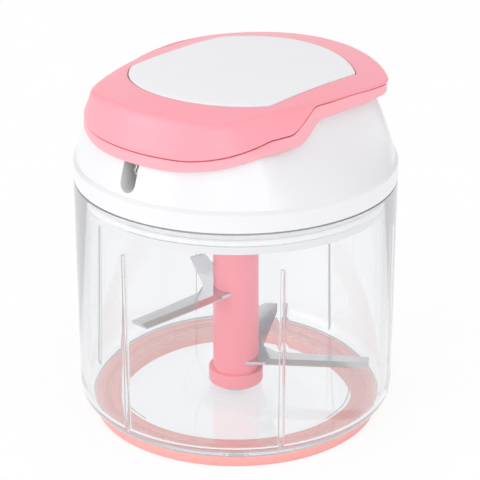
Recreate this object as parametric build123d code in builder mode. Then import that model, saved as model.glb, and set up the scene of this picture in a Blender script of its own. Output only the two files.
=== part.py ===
from build123d import *
import math
import os

# Pull-cord food chopper. Millimetres, +Z up, origin at the centre of the foot on the table.
# The cord slot faces -Y. Everything is symmetric about X = 0 except the blades and the cord.

# ---------------------------------------------------------------- driving dimensions
cut_past = 5.0  # how far a cutting shape runs past what it cuts

# bowl
bowl_radius = 63.0  # outside, at the rim
bowl_wall = 3.0
bowl_draft = 0.4  # how much narrower the bowl is at its foot
bowl_top = 99.1  # rim height above the table
bowl_corner = 9.0  # round between wall and underside
floor_thickness = 3.5
inner_corner = 3.5
rib_count = 6
rib_width = 2.1
rib_depth = 1.6
rib_drop = 16.1  # top of the ribs below the rim
rib_start_angle = -92.4
boss_radius = 8.0
boss_height = 1.1  # above the floor
rim_round = 1.2
rib_round = 0.6

# base ring
ring_height = 5.0
ring_set_in = 5.0  # from the bowl's side to the ring's
ring_taper = 1.6
ring_width = 11.0
bead_set_in = 6.5  # from the ring's side to the bead under the bowl that holds it
bead_width = 2.4
bead_depth = 2.0
ring_round = 0.8

# pivot and blade shaft
pin_radius = 3.0
pin_sunk = 2.4  # length of pin in the bowl's boss
pin_top = 25.0
pin_round = 1.8
running_gap = 0.05  # radial, wherever a shaft turns in a bore
bush_wall = 1.35
bush_length = 18.0
foot_gap = 0.4  # between the bowl's boss and the shaft's foot
foot_radius = 11.0
foot_height = 5.5
foot_round = 0.6
foot_spigot = 1.6
spigot_radius = 7.0
shaft_radius = 9.25
shaft_drop = 8.5  # top of the shaft below the seam
shaft_round = 1.0
shaft_web = 4.0  # solid part under the socket
shaft_lining = 1.0  # extra thickness of that solid part past the bore
socket_across_flats = 10.0
socket_depth = 12.5
hex_gap = 0.2  # per side, spindle in socket

# blades
blade_thickness = 1.2
blade_width = 9.0
blade_hub_radius = 7.6
blade_bevel = 3.0
blade_edge = 0.35  # thickness left at the sharp edge
upper_blade_height = 49.6
upper_blade_angle = -98.0
upper_blade_offset = 1.2  # of the arm's middle from the axis, away from its wing
upper_blade_clearance = 12.7  # from the tip to the bowl's outside
lower_blade_height = 20.2
lower_blade_angle = 38.0
lower_blade_offset = 3.7
lower_blade_clearance = 8.9
blade_tip_slant = 1.0
blade_tip_narrowing = 1.2
blade_shoulder = 4.0  # from the wing's root to where the arm is parallel
wing_turn = 32.0  # angle between a blade's arm and its upturned wing
upper_wing = ((6.0, 0.0), (13.0, 0.0), (18.6, 12.4), (12.5, 13.6), (9.3, 9.0))
lower_wing = ((6.0, 0.0), (12.4, 0.0), (20.4, 16.2), (14.6, 17.8), (10.3, 17.1))

# lid: what stands in from the bowl's outside, and heights above the seam
seam_gap = 0.4  # between bowl rim and lid
lid_wall = 2.2
band_height = 7.6
band_edge = 0.8  # height of the sloped edge at the top of the band
band_top_inset = 0.8
shoulder_inset = 1.3
shoulder_height = 8.0
lid_middle_height = 20.5
lid_middle_inset = 5.1
lid_middle_flank_inset = 14.4
lid_top_height = 34.0
lid_top_inset = 9.6
lid_top_flank_inset = 21.4
lid_top_round = 2.0
lid_flank_bow = 400.0
skirt_gap = 0.7  # between the lid's skirt and the bowl's wall
skirt_wall = 2.3
skirt_depth = 9.5  # below the seam
gasket_drop = 6.5  # underside of the gasket below the seam
gasket_height = 3.0
gasket_depth = 1.1
gasket_clearance = 0.3  # to the bowl wall
slot_width = 7.4
slot_low = 9.3  # bottom of the cord slot above the seam
slot_inset = 16.5  # from the bowl's outside to the slot's back wall
slot_wall = 1.5

# mechanism
cover_thickness = 2.0
cover_gap = 1.0  # between blade shaft and cover
cover_clearance = 0.3  # to the lid's skirt
cover_screw_inset = 17.0
cover_screw_length = 11.0
collar_wall = 1.8
collar_height = 5.0
axle_reach = 7.5  # below the spool
axle_radius = 3.0
axle_boss_radius = 8.0
axle_boss_length = 5.0
axle_top_sink = 3.0  # left closed above the axle
spool_rise = 11.0  # spool above the cover
spool_drum_radius = 19.0
spool_flange_radius = 27.0
spool_flange = 1.5
spool_groove = 9.0
spool_hub_radius = 7.5
spindle_flange_radius = 14.0
spindle_flange = 3.0
spindle_radius = 7.9
spindle_reach = 11.0  # how far the spindle reaches down into the blade shaft
spindle_chamfer = 1.0
spindle_bore_depth = 8.0  # below the flange
spindle_screw_distance = 10.5
spindle_screw_length = 9.0
spindle_bush_wall = 2.1
seat_gap = 0.3  # between faces that turn on each other
spool_recess_inner = 13.0
spool_recess_outer = 17.0
spool_recess_depth = 8.0
case_radius = 27.5
case_wall = 1.5
case_drop = 0.4  # between the axle's boss and the spring case
case_post_out = 4.0  # from the case's side to its screws
case_ear_radius = 4.6
case_screw_length = 6.0
spring_strip = 0.5
spring_gap = 1.2  # between the spring and what is above and below it
spring_turns = 5
screw_radius = 1.4
screw_head_radius = 2.7
screw_head = 1.1
screw_post_radius = 3.6

# cord
cord_radius = 1.0
coil_turns = 4
coil_pitch = 1.96
coil_gap = 0.05
lead_gap = 0.15  # between the cord's straight run and the coil it leaves
lead_corner_inset = 3.9  # from the slot's back wall to where the run meets the eyelet's axis
lead_corner_radius = 6.0
lead_end_out = 0.3  # past the slot's back wall
eyelet_drop = 1.3  # below the top of the spool's groove
eyelet_bore = 1.15
eyelet_radius = 2.0
eyelet_flange_radius = 2.5
eyelet_flange = 0.6
cord_start_out = 0.45  # past the slot's back wall
cord_ways = (  # the free cord's points: sideways, out past the slot's back wall, share of its rise
    (0.1, 5.7, 0.005),
    (0.4, 9.4, 0.183),
    (0.9, 9.5, 0.4375),
    (0.6, 6.9, 0.7115),
)

# handle
crown_rise = 9.8  # above the lid's top
crown_radius_across = 217.0  # crown curvature seen from the front
crown_radius_along = 427.0  # crown curvature seen from the side
skirt_drop = 9.5  # bottom of the lofted skirt below the lid's top
skirt_low_inset = 3.0
crease_drop = 3.7  # below the crown
crease_inset = 5.75
crease_shift = 1.25  # centre of the crease outline towards the back
crease_flank_inset = 17.6
crease_bow = 200.0
crease_bow_centre = 25.0
front_corner = 12.0
handle_wall = 2.0
handle_roof = 2.8
tuck_inset = 1.3  # how far the lower shell stands inside the upper one
tuck_points = 48
parting_steps = (  # the line between the two shells: share of the bowl's radius, drop, rounding
    (-0.873, 13.5, 12.0),
    (-0.492, 7.3, 12.0),
    (-0.349, 6.7, 8.0),
    (-0.095, 0.5, 8.0),
    (0.222, 0.5, 60.0),
    (0.571, 2.2, 60.0),
)
lower_steps = (  # the lower shell's bottom edge, in the same way
    (-0.905, 18.2, 12.0),
    (-0.524, 11.8, 20.0),
    (-0.254, 11.8, 10.0),
    (-0.048, 6.1, 8.0),
)
lower_wall = 0.8  # least thickness of the lower shell beside the lid
handle_clearance = 0.3  # between lid and handle
pan_thickness = 1.2
panel_margin = 10.5  # from the crease's flank to the panel
panel_front_inset = 21.7
panel_front_bulge = 4.9  # radius of the front arc over the panel's half width
panel_front_corner = 9.0
panel_back_inset = 19.0
panel_back_bulge = 14.6
panel_back_corner = 3.0
panel_depth = 1.4
panel_proud = 0.3
panel_gap = 0.3
panel_seat = 0.05
handle_screw_x = 27.0
handle_screw_front = 24.0
handle_screw_back = 36.0
screw_tip_gap = 0.3
handle_boss_radius = 3.4
handle_boss_drop = 4.8  # below the crown
cord_hole_radius = 2.5
cord_hole_inset = 13.0
stop_radius = 3.4  # bead on the cord's end, above the hole
stop_height = 2.0

# ---------------------------------------------------------------- derived places
# heights
seam = bowl_top + seam_gap
floor_low = ring_height
floor_top = floor_low + floor_thickness
boss_top = floor_top + boss_height
rib_top = bowl_top - rib_drop
foot_low = boss_top + foot_gap
shaft_low = foot_low + foot_height
shaft_top = seam - shaft_drop
skirt_low_end = seam - skirt_depth
gasket_low = seam - gasket_drop
cover_low = shaft_top + cover_gap
cover_top = cover_low + cover_thickness
lid_top = seam + lid_top_height
ceiling = lid_top - lid_wall
axle_boss_low = ceiling - axle_boss_length
axle_top = lid_top - axle_top_sink
spool_low = cover_top + spool_rise
spool_groove_low = spool_low + spool_flange
spool_groove_top = spool_groove_low + spool_groove
spool_top = spool_groove_top + spool_flange
axle_low = spool_low - axle_reach
eyelet_height = spool_groove_top - eyelet_drop
spindle_end = shaft_top - spindle_reach
spindle_shoulder = spool_low - spindle_flange
case_top = axle_boss_low - case_drop
case_roof = case_top - case_wall
case_low = spool_top + seat_gap
spring_low = spool_top + spring_gap
spring_height = case_roof - spring_gap - spring_low
crown_height = lid_top + crown_rise
crease_height = crown_height - crease_drop
skirt_low = lid_top - skirt_drop
pan_low = lid_top + handle_clearance
pan_top = pan_low + pan_thickness
handle_boss_high = crown_height - handle_boss_drop
handle_screw_length = handle_boss_high - screw_tip_gap - pan_low

# distances from the axis
bowl_inner = bowl_radius - bowl_wall
foot_outer = bowl_radius - bowl_draft
foot_inner = bowl_inner - bowl_draft
ring_radius = bowl_radius - ring_set_in
ring_foot_radius = ring_radius - ring_taper
ring_inner_radius = ring_radius - ring_width
bead_radius = ring_radius - bead_set_in
corner_centre = foot_outer - bowl_corner
corner_height = math.sqrt(bowl_corner**2 - (ring_radius - corner_centre) ** 2)
bush_radius = pin_radius + running_gap + bush_wall
upper_blade_reach = bowl_radius - upper_blade_clearance
lower_blade_reach = bowl_radius - lower_blade_clearance
band_top_radius = bowl_radius - band_top_inset
shoulder_radius = bowl_radius - shoulder_inset
lid_middle_radius = bowl_radius - lid_middle_inset
lid_middle_flank = bowl_radius - lid_middle_flank_inset
lid_top_radius = bowl_radius - lid_top_inset
lid_top_flank = bowl_radius - lid_top_flank_inset
skirt_radius = bowl_inner - skirt_gap
skirt_inner = skirt_radius - skirt_wall
slot_back = bowl_radius - slot_inset
cover_screw_distance = bowl_radius - cover_screw_inset
bush_outer = spindle_radius + running_gap + spindle_bush_wall
cord_lay_radius = spool_drum_radius + coil_gap + cord_radius
coil_radius = cord_lay_radius + cord_radius
lead_corner = slot_back - lead_corner_inset
lead_end = slot_back + lead_end_out
cord_hole_y = bowl_radius - cord_hole_inset
skirt_low_radius = bowl_radius - skirt_low_inset
crease_radius = bowl_radius - crease_inset
crease_flank = bowl_radius - crease_flank_inset
panel_half_width = crease_flank - panel_margin
panel_front = bowl_radius - panel_front_inset
panel_front_radius = panel_half_width + panel_front_bulge
panel_back = bowl_radius - panel_back_inset
panel_back_radius = panel_half_width + panel_back_bulge

# the two edge lines of the handle's shells, measured down from the crown beside its flanks
crown_sag = crown_radius_across - math.sqrt(crown_radius_across**2 - crease_flank**2)
flank_top = crown_height - crown_sag
parting_line = [(share * bowl_radius, flank_top - drop) for share, drop, _ in parting_steps]
parting_rounds = [rounding for _, _, rounding in parting_steps]
lower_line = [(share * bowl_radius, flank_top - drop) for share, drop, _ in lower_steps]
lower_rounds = [rounding for _, _, rounding in lower_steps]



def ring_profile(inner, outer, low, high):
    """A rectangle in the XZ plane, ready to be revolved about Z."""
    with Locations(((inner + outer) / 2, (low + high) / 2)):
        Rectangle(outer - inner, high - low)


def bowed_outline(radius, flank, bow, corner, shift=0.0, bow_centre=0.0):
    """A disc whose two flanks are flattened to large arcs, with rounded corners."""
    with BuildSketch(mode=Mode.PRIVATE) as outline:
        with Locations((0, shift)):
            Circle(radius)
        for side in (-1, 1):
            with Locations((side * (flank - bow), bow_centre)):
                Circle(bow, mode=Mode.INTERSECT)
        fillet(outline.vertices(), corner)
    return outline.sketch


def matched_circle(radius, outline):
    """A circle split at the same angles as another outline's corners, so that a loft runs true."""
    angles = sorted(math.atan2(corner.Y, corner.X) for corner in outline.vertices())
    angles.append(angles[0] + 2 * math.pi)
    with BuildSketch(mode=Mode.PRIVATE) as circle:
        with BuildLine():
            for start, end in zip(angles, angles[1:]):
                stops = (start, (start + end) / 2, end)
                ThreePointArc(*[(radius * math.cos(a), radius * math.sin(a)) for a in stops])
        make_face()
    return circle.sketch


def lid_form(grow):
    """The lid above its shoulder, grown or shrunk all round by one amount."""
    middle = bowed_outline(
        lid_middle_radius + grow, lid_middle_flank + grow, lid_flank_bow, front_corner
    )
    top = bowed_outline(lid_top_radius + grow, lid_top_flank + grow, lid_flank_bow, front_corner)
    top_inner = bowed_outline(
        lid_top_radius + grow - lid_top_round,
        lid_top_flank + grow - lid_top_round,
        lid_flank_bow - lid_top_round,
        front_corner - lid_top_round,
    )
    edge = lid_top + grow - lid_top_round
    with BuildPart() as form:
        with BuildSketch(Plane.XY.offset(seam + shoulder_height)):
            add(matched_circle(shoulder_radius + grow, middle))
        with BuildSketch(Plane.XY.offset(seam + lid_middle_height)):
            add(middle)
        with BuildSketch(Plane.XY.offset(edge)):
            add(top)
        loft()
        with BuildSketch(Plane.XY.offset(edge)):
            add(top)
        with BuildSketch(Plane.XY.offset(edge + lid_top_round)):
            add(top_inner)
        loft(ruled=True)
    return form.part


def crown(drop):
    """A slab under the handle's crown, curved both across and along, lowered by drop."""
    top = crown_height - drop
    with BuildPart() as slab:
        with BuildSketch(Plane.XZ):
            with BuildLine():
                sag = crown_radius_across - math.sqrt(crown_radius_across**2 - bowl_radius**2)
                arc = ThreePointArc((-bowl_radius, top - sag), (0, top), (bowl_radius, top - sag))
                Polyline(arc @ 1, (bowl_radius, skirt_low - cut_past), (-bowl_radius, skirt_low - cut_past), arc @ 0)
            make_face()
        pivot = Axis((0, 0, crown_height - crown_radius_along), (1, 0, 0))
        revolve(axis=pivot, revolution_arc=12)
        revolve(slab.faces().filter_by(Plane.XZ).sort_by(Axis.Y)[-1], axis=pivot, revolution_arc=-12)
    return slab.part


def crease_outline(inset):
    """The handle's outline at the crease between its skirt and its crown."""
    return bowed_outline(
        crease_radius - inset,
        crease_flank - inset,
        crease_bow,
        front_corner,
        crease_shift,
        crease_bow_centre,
    )


def handle_form(inset, drop):
    """The handle's skirt and crown, shrunk by inset at the sides and by drop at the top."""
    outline = crease_outline(inset)
    crown_slab = crown(drop)
    with BuildPart() as form:
        with BuildSketch(Plane.XY.offset(skirt_low)):
            add(matched_circle(skirt_low_radius - inset, outline))
        with BuildSketch(Plane.XY.offset(crease_height)):
            add(outline)
        loft(ruled=True)
        extrude(form.faces().sort_by(Axis.Z)[-1], amount=crease_drop + cut_past)
        add(crown_slab, mode=Mode.INTERSECT)
    return form.part


def parting_level(y):
    """Height of the parting line at one distance along the handle."""
    for (low_y, low_z), (high_y, high_z) in zip(parting_line, parting_line[1:]):
        if y <= high_y:
            return low_z + (high_z - low_z) * max(0.0, y - low_y) / (high_y - low_y)
    return parting_line[-1][1]


def tucked_outline(inset):
    """The skirt's edge along the parting line seen from above, set inwards by inset."""
    edge_points = []
    rim = crease_outline(0.0).faces()[0].outer_wire()
    for step in range(tuck_points):
        top = rim.position_at(step / tuck_points)
        foot = Vector(top.X, top.Y).normalized() * skirt_low_radius
        low, high = 0.0, 1.0
        for _ in range(20):
            share = (low + high) / 2
            y = foot.Y + (top.Y - foot.Y) * share
            if skirt_low + (crease_height - skirt_low) * share < parting_level(y):
                low = share
            else:
                high = share
        edge = foot + (Vector(top.X, top.Y) - foot) * low
        edge_points.append(edge - edge.normalized() * inset)
    with BuildSketch(mode=Mode.PRIVATE) as outline:
        with BuildLine():
            Spline(*edge_points, periodic=True)
        make_face()
    return outline.sketch


def above_line(corners, rounds):
    """Everything above a stepped line seen from the side, as a slab across the handle."""
    reach = bowl_radius + cut_past
    above = crown_height + cut_past
    with BuildPart() as slab:
        with BuildSketch(Plane.YZ):
            with BuildLine():
                line = FilletPolyline(
                    (-reach, corners[0][1]), *corners, (reach, corners[-1][1]), radius=rounds
                )
                Polyline(line @ 1, (reach, above), (-reach, above), line @ 0)
            make_face()
        extrude(amount=reach, both=True)
    return slab.part


def panel_outline(grow):
    """The inlay's outline: two bowed ends between straight flanks, grown all round."""
    half = panel_half_width + grow
    front_radius = panel_front_radius + grow
    back_radius = panel_back_radius + grow
    front_centre = panel_front_radius - panel_front
    back_centre = panel_back - panel_back_radius
    front_y = front_centre - math.sqrt(front_radius**2 - half**2)
    back_y = back_centre + math.sqrt(back_radius**2 - half**2)
    with BuildSketch(Plane.XY.offset(skirt_low), mode=Mode.PRIVATE) as outline:
        with BuildLine():
            ThreePointArc((-half, front_y), (0, front_centre - front_radius), (half, front_y))
            Line((half, front_y), (half, back_y))
            ThreePointArc((half, back_y), (0, back_centre + back_radius), (-half, back_y))
            Line((-half, back_y), (-half, front_y))
        make_face()
        corners = outline.vertices().group_by(Axis.Y)
        fillet(corners[0], panel_front_corner + grow)
        fillet(outline.vertices().group_by(Axis.Y)[-1], panel_back_corner + grow)
    return outline.sketch


def slot_profile(widen, low):
    """The cord slot seen from the front: straight sides and a round lower end."""
    half = slot_width / 2 + widen
    centre = seam + slot_low + slot_width / 2
    with Locations((0, centre)):
        Circle(half)
    with Locations((0, (centre + low) / 2)):
        Rectangle(2 * half, low - centre)


def screw_set(places, low, length):
    """Countersunk screws standing on one level, as one group of solids."""
    with BuildPart() as screws:
        with Locations(*[(x, y, low) for x, y in places]):
            Cone(screw_head_radius, screw_radius, screw_head, align=(Align.CENTER, Align.CENTER, Align.MIN))
            Cylinder(screw_radius, length, align=(Align.CENTER, Align.CENTER, Align.MIN))
    return screws.part


def polar_places(radius, angles):
    """Points on a circle about the axis, one for each angle in degrees."""
    turns = [math.radians(angle) for angle in angles]
    return [(radius * math.cos(turn), radius * math.sin(turn)) for turn in turns]


def chopping_blade(height, angle, side, offset, reach, wing):
    """A flat arm with one ground edge, and a wing folded up beside its root.

    side is +1 when the wing stands to the left of the arm, -1 when it stands to the right.
    offset is how far the arm's middle runs from the axis, on the side away from the wing.
    wing lists the wing's corners as (distance from the axis, height above the arm).
    """
    outside = -side * (blade_width / 2 + offset)
    inside = side * (blade_width / 2 - offset)
    arm = Plane((0, 0, height), x_dir=Vector(1, 0, 0).rotate(Axis.Z, angle), z_dir=(0, 0, 1))
    fold = Vector(1, 0, 0).rotate(Axis.Z, angle + side * wing_turn)
    across = Vector(0, 1, 0).rotate(Axis.Z, angle)
    wing_root = wing[1][0]
    turn = math.radians(wing_turn)
    with BuildPart() as blade:
        with BuildSketch(arm):
            Circle(blade_hub_radius)
            with BuildLine():
                Polyline(
                    (0, outside),
                    (reach - blade_tip_slant, outside),
                    (reach, inside - side * blade_tip_narrowing),
                    (wing_root + blade_shoulder, inside),
                    (wing_root * math.cos(turn), side * wing_root * math.sin(turn)),
                    (0, 0),
                    close=True,
                )
            make_face()
            Circle(bush_radius, mode=Mode.SUBTRACT)
        extrude(amount=blade_thickness / 2, both=True)
        with BuildSketch(Plane(arm.origin, x_dir=fold, z_dir=fold.cross(Vector(0, 0, 1)))):
            with BuildLine():
                Polyline(*wing, close=True)
            make_face()
        extrude(amount=blade_thickness / 2, both=True)
        start = arm.origin + arm.x_dir * (shaft_radius + blade_bevel)
        with BuildSketch(Plane(start, x_dir=across, z_dir=arm.x_dir)):
            with BuildLine():
                Polyline(
                    (outside, blade_thickness / 2),
                    (outside + side * blade_bevel, blade_thickness / 2),
                    (outside, blade_edge - blade_thickness / 2),
                    close=True,
                )
            make_face()
        extrude(amount=reach, mode=Mode.SUBTRACT)
    return blade.part


def route_radii(route):
    """The largest bend that the two runs at each inner point of a cord's route allow."""
    radii = []
    for before, point, after in zip(route, route[1:], route[2:]):
        turn = math.radians((point - before).get_angle(after - point))
        shorter = min((point - before).length, (after - point).length)
        radii.append(0.45 * shorter / math.tan(turn / 2))
    return radii


os.makedirs("parts", exist_ok=True)

# ---------------------------------------------------------------- bowl body
# Clear bowl: one revolved wall and floor, a bead for the base ring, six ribs and a pin boss.
with BuildPart() as bowl:
    with BuildSketch(Plane.XZ):
        with BuildLine():
            Polyline((0, floor_top), (0, floor_low), (ring_radius, floor_low))
            TangentArc(
                (foot_outer, floor_low + corner_height), (ring_radius, floor_low), tangent=(0, -1)
            )
            Polyline(
                (foot_outer, floor_low + corner_height),
                (bowl_radius, bowl_top),
                (bowl_inner, bowl_top),
                (foot_inner, floor_top + inner_corner),
            )
            TangentArc(
                (foot_inner, floor_top + inner_corner),
                (foot_inner - inner_corner, floor_top),
                tangent=(0, -1),
            )
            Line((foot_inner - inner_corner, floor_top), (0, floor_top))
        make_face()
        ring_profile(bead_radius - bead_width / 2, bead_radius + bead_width / 2, floor_low - bead_depth, floor_low)
        ring_profile(0, boss_radius, floor_top, boss_top)
    revolve()
    fillet(bowl.edges().filter_by(GeomType.CIRCLE).group_by(Axis.Z)[-1], rim_round)
    with BuildSketch(Plane.XY.offset(floor_top)):
        with PolarLocations(bowl_inner - rib_depth / 2 + bowl_draft, rib_count, rib_start_angle):
            Rectangle(rib_depth + 2 * bowl_draft, rib_width)
    extrude(amount=rib_top - floor_top)
    rib_edges = bowl.edges().filter_by(Axis.Z).filter_by(lambda edge: edge.length > bowl_top / 2)
    rib_face = bowl_inner - rib_depth + rib_width / 4
    fillet(rib_edges.filter_by(lambda e: math.hypot(e.center().X, e.center().Y) < rib_face), rib_round)
    with Locations((0, 0, boss_top)):
        Hole(pin_radius, pin_sunk)
bowl.part.label = "bowl"
export_step(bowl.part, "parts/bowl.step")

# Soft foot ring, stretched over the bead.
with BuildPart() as base_ring:
    with BuildSketch(Plane.XZ):
        with BuildLine():
            Polyline(
                (ring_inner_radius, 0),
                (ring_foot_radius, 0),
                (ring_radius, ring_height),
                (ring_inner_radius, ring_height),
                close=True,
            )
        make_face()
        groove = bead_width / 2 + running_gap
        with Locations((bead_radius, ring_height - (bead_depth + running_gap) / 2)):
            Rectangle(2 * groove, bead_depth + running_gap, mode=Mode.SUBTRACT)
    revolve()
    fillet(base_ring.edges().group_by(Axis.Z)[0], ring_round)
base_ring.part.label = "base_ring"
export_step(base_ring.part, "parts/base_ring.step")

with BuildPart() as pivot_pin:
    with BuildSketch(Plane.XZ):
        ring_profile(0, pin_radius, boss_top - pin_sunk, pin_top)
    revolve()
    fillet(pivot_pin.edges().group_by(Axis.Z)[-1], pin_round)
pivot_pin.part.label = "pivot_pin"
export_step(pivot_pin.part, "parts/pivot_pin.step")

# ---------------------------------------------------------------- blade unit
with BuildPart() as shaft_bush:
    with BuildSketch(Plane.XZ):
        ring_profile(pin_radius + running_gap, bush_radius, foot_low, foot_low + bush_length)
    revolve()
shaft_bush.part.label = "shaft_bush"
export_step(shaft_bush.part, "parts/shaft_bush.step")

with BuildPart() as shaft_foot:
    with BuildSketch(Plane.XZ):
        ring_profile(bush_radius, foot_radius, foot_low, shaft_low)
        with Locations(((bush_radius + spigot_radius) / 2, shaft_low - foot_spigot / 2)):
            Rectangle(spigot_radius - bush_radius, foot_spigot, mode=Mode.SUBTRACT)
    revolve()
    side = shaft_foot.faces().filter_by(GeomType.CYLINDER).sort_by(SortBy.AREA)[-1]
    fillet(side.edges().filter_by(GeomType.CIRCLE), foot_round)
shaft_foot.part.label = "shaft_foot"
export_step(shaft_foot.part, "parts/shaft_foot.step")

upper_blade_part = chopping_blade(
    upper_blade_height, upper_blade_angle, -1, upper_blade_offset, upper_blade_reach, upper_wing
)
lower_blade_part = chopping_blade(
    lower_blade_height, lower_blade_angle, 1, lower_blade_offset, lower_blade_reach, lower_wing
)
with BuildPart() as upper_blade:
    add(upper_blade_part)
upper_blade.part.label = "upper_blade"
export_step(upper_blade.part, "parts/upper_blade.step")
with BuildPart() as lower_blade:
    add(lower_blade_part)
lower_blade.part.label = "lower_blade"
export_step(lower_blade.part, "parts/lower_blade.step")

# Hollow shaft moulded round both blade hubs, with a hexagonal socket for the drive.
with BuildPart() as blade_shaft:
    with BuildSketch(Plane.XZ):
        ring_profile(bush_radius, shaft_radius, shaft_low, shaft_top)
        ring_profile(bush_radius, spigot_radius, shaft_low - foot_spigot, shaft_low)
        ring_profile(0, bush_radius + shaft_lining, shaft_top - socket_depth - shaft_web, shaft_top)
    revolve()
    fillet(blade_shaft.edges().group_by(Axis.Z)[-1], shaft_round)
    with BuildSketch(Plane.XY.offset(shaft_top)):
        RegularPolygon(socket_across_flats / 2, 6, major_radius=False)
    extrude(amount=-socket_depth, mode=Mode.SUBTRACT)
    add(upper_blade_part, mode=Mode.SUBTRACT)
    add(lower_blade_part, mode=Mode.SUBTRACT)
blade_shaft.part.label = "blade_shaft"
export_step(blade_shaft.part, "parts/blade_shaft.step")

# ---------------------------------------------------------------- lid body
cover_angles = (45, 135, 225, 315)
case_angles = (90, 210, 330)
cover_places = polar_places(cover_screw_distance, cover_angles)
case_places = polar_places(case_radius + case_post_out, case_angles)
spindle_places = polar_places(spindle_screw_distance, case_angles)

cover_screw_group = screw_set(cover_places, cover_low, cover_screw_length)
case_screw_group = screw_set(case_places, case_roof, case_screw_length)
spindle_screw_group = screw_set(spindle_places, spindle_shoulder, spindle_screw_length)

lid_outside = lid_form(0.0)
lid_inside = lid_form(-lid_wall)

# The U-shaped channel that the cord runs in, trimmed to the lid's outside.
with BuildPart() as cord_channel:
    with BuildSketch(Plane.XZ.offset(slot_back - slot_wall)):
        slot_profile(slot_wall, lid_top + cut_past)
    extrude(amount=bowl_radius - slot_back + slot_wall)
    add(lid_outside, mode=Mode.INTERSECT)

with BuildPart() as lid_shell:
    with BuildSketch(Plane.XZ):
        with BuildLine():
            Polyline(
                (0, seam),
                (bowl_radius, seam),
                (bowl_radius, seam + band_height - band_edge),
                (band_top_radius, seam + band_height),
                (shoulder_radius, seam + shoulder_height),
                (0, seam + shoulder_height),
                close=True,
            )
        make_face()
        ring_profile(skirt_inner, skirt_radius, skirt_low_end, seam)
    revolve()
    add(lid_outside)
    with BuildSketch(Plane.XZ):
        with BuildLine():
            Polyline(
                (0, skirt_low_end),
                (skirt_inner, skirt_low_end),
                (skirt_inner, seam + lid_wall),
                (shoulder_radius - lid_wall, seam + 2 * lid_wall),
                (shoulder_radius - lid_wall, seam + shoulder_height),
                (0, seam + shoulder_height),
                close=True,
            )
        make_face()
    revolve(mode=Mode.SUBTRACT)
    add(lid_inside, mode=Mode.SUBTRACT)
    add(cord_channel.part)
    with BuildSketch(Plane.XZ.offset(slot_back)):
        slot_profile(0.0, lid_top + slot_width)
    extrude(amount=slot_inset + cut_past, mode=Mode.SUBTRACT)
    with BuildSketch(Plane.XZ.offset(slot_back - 2 * slot_wall)):
        with Locations((0, eyelet_height)):
            Circle(eyelet_radius)
    extrude(amount=3 * slot_wall, mode=Mode.SUBTRACT)
    with BuildSketch(Plane.XY.offset(axle_boss_low)):
        Circle(axle_boss_radius)
    extrude(amount=ceiling - axle_boss_low + lid_wall / 2)
    with BuildSketch(Plane.XY.offset(axle_boss_low)):
        Circle(axle_radius)
    extrude(amount=axle_top - axle_boss_low, mode=Mode.SUBTRACT)
    with BuildSketch(Plane.XY.offset(case_top)):
        with Locations(*case_places):
            Circle(screw_post_radius)
    extrude(amount=ceiling - case_top + lid_wall / 2)
    with BuildSketch(Plane.XY.offset(cover_top)):
        with Locations(*cover_places):
            Circle(screw_post_radius)
    extrude(amount=ceiling - cover_top)
    add(cover_screw_group, mode=Mode.SUBTRACT)
    add(case_screw_group, mode=Mode.SUBTRACT)
    with BuildSketch(Plane.XZ):
        ring_profile(
            skirt_radius - gasket_depth, bowl_radius, gasket_low, gasket_low + gasket_height
        )
    revolve(mode=Mode.SUBTRACT)
lid_shell.part.label = "lid_shell"
export_step(lid_shell.part, "parts/lid_shell.step")

with BuildPart() as lid_gasket:
    with BuildSketch(Plane.XZ):
        ring_profile(
            skirt_radius - gasket_depth,
            bowl_inner - gasket_clearance,
            gasket_low,
            gasket_low + gasket_height,
        )
    revolve()
    side = lid_gasket.faces().filter_by(GeomType.CYLINDER).sort_by(SortBy.AREA)[-1]
    fillet(side.edges().filter_by(GeomType.CIRCLE), gasket_height / 4)
lid_gasket.part.label = "lid_gasket"
export_step(lid_gasket.part, "parts/lid_gasket.step")

with BuildPart() as cord_eyelet:
    with BuildSketch(Plane.XZ.offset(slot_back - slot_wall)):
        with Locations((0, eyelet_height)):
            Circle(eyelet_radius)
            Circle(eyelet_bore, mode=Mode.SUBTRACT)
    extrude(amount=slot_wall)
    with BuildSketch(Plane.XZ.offset(slot_back)):
        with Locations((0, eyelet_height)):
            Circle(eyelet_flange_radius)
            Circle(eyelet_bore, mode=Mode.SUBTRACT)
    extrude(amount=eyelet_flange)
    fillet(cord_eyelet.edges().group_by(Axis.Y)[0].sort_by(SortBy.RADIUS)[-1], eyelet_flange / 2)
cord_eyelet.part.label = "cord_eyelet"
export_step(cord_eyelet.part, "parts/cord_eyelet.step")

with BuildPart() as spindle_bush:
    with BuildSketch(Plane.XZ):
        ring_profile(
            spindle_radius + running_gap, bush_outer, cover_low, spindle_shoulder - seat_gap
        )
    revolve()
spindle_bush.part.label = "spindle_bush"
export_step(spindle_bush.part, "parts/spindle_bush.step")

# Cover plate under the mechanism, with a collar that carries the bush.
with BuildPart() as mechanism_cover:
    with BuildSketch(Plane.XZ):
        ring_profile(bush_outer, skirt_inner - cover_clearance, cover_low, cover_top)
        ring_profile(bush_outer, bush_outer + collar_wall, cover_top, cover_top + collar_height)
    revolve()
    add(cover_screw_group, mode=Mode.SUBTRACT)
mechanism_cover.part.label = "mechanism_cover"
export_step(mechanism_cover.part, "parts/mechanism_cover.step")

with BuildPart() as cover_screws:
    add(cover_screw_group)
cover_screws.part.label = "cover_screws"
export_step(cover_screws.part, "parts/cover_screws.step")

with BuildPart() as center_axle:
    with BuildSketch(Plane.XZ):
        ring_profile(0, axle_radius, axle_low, axle_top)
    revolve()
    chamfer(center_axle.edges().group_by(Axis.Z)[0], axle_radius / 5)
center_axle.part.label = "center_axle"
export_step(center_axle.part, "parts/center_axle.step")

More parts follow.
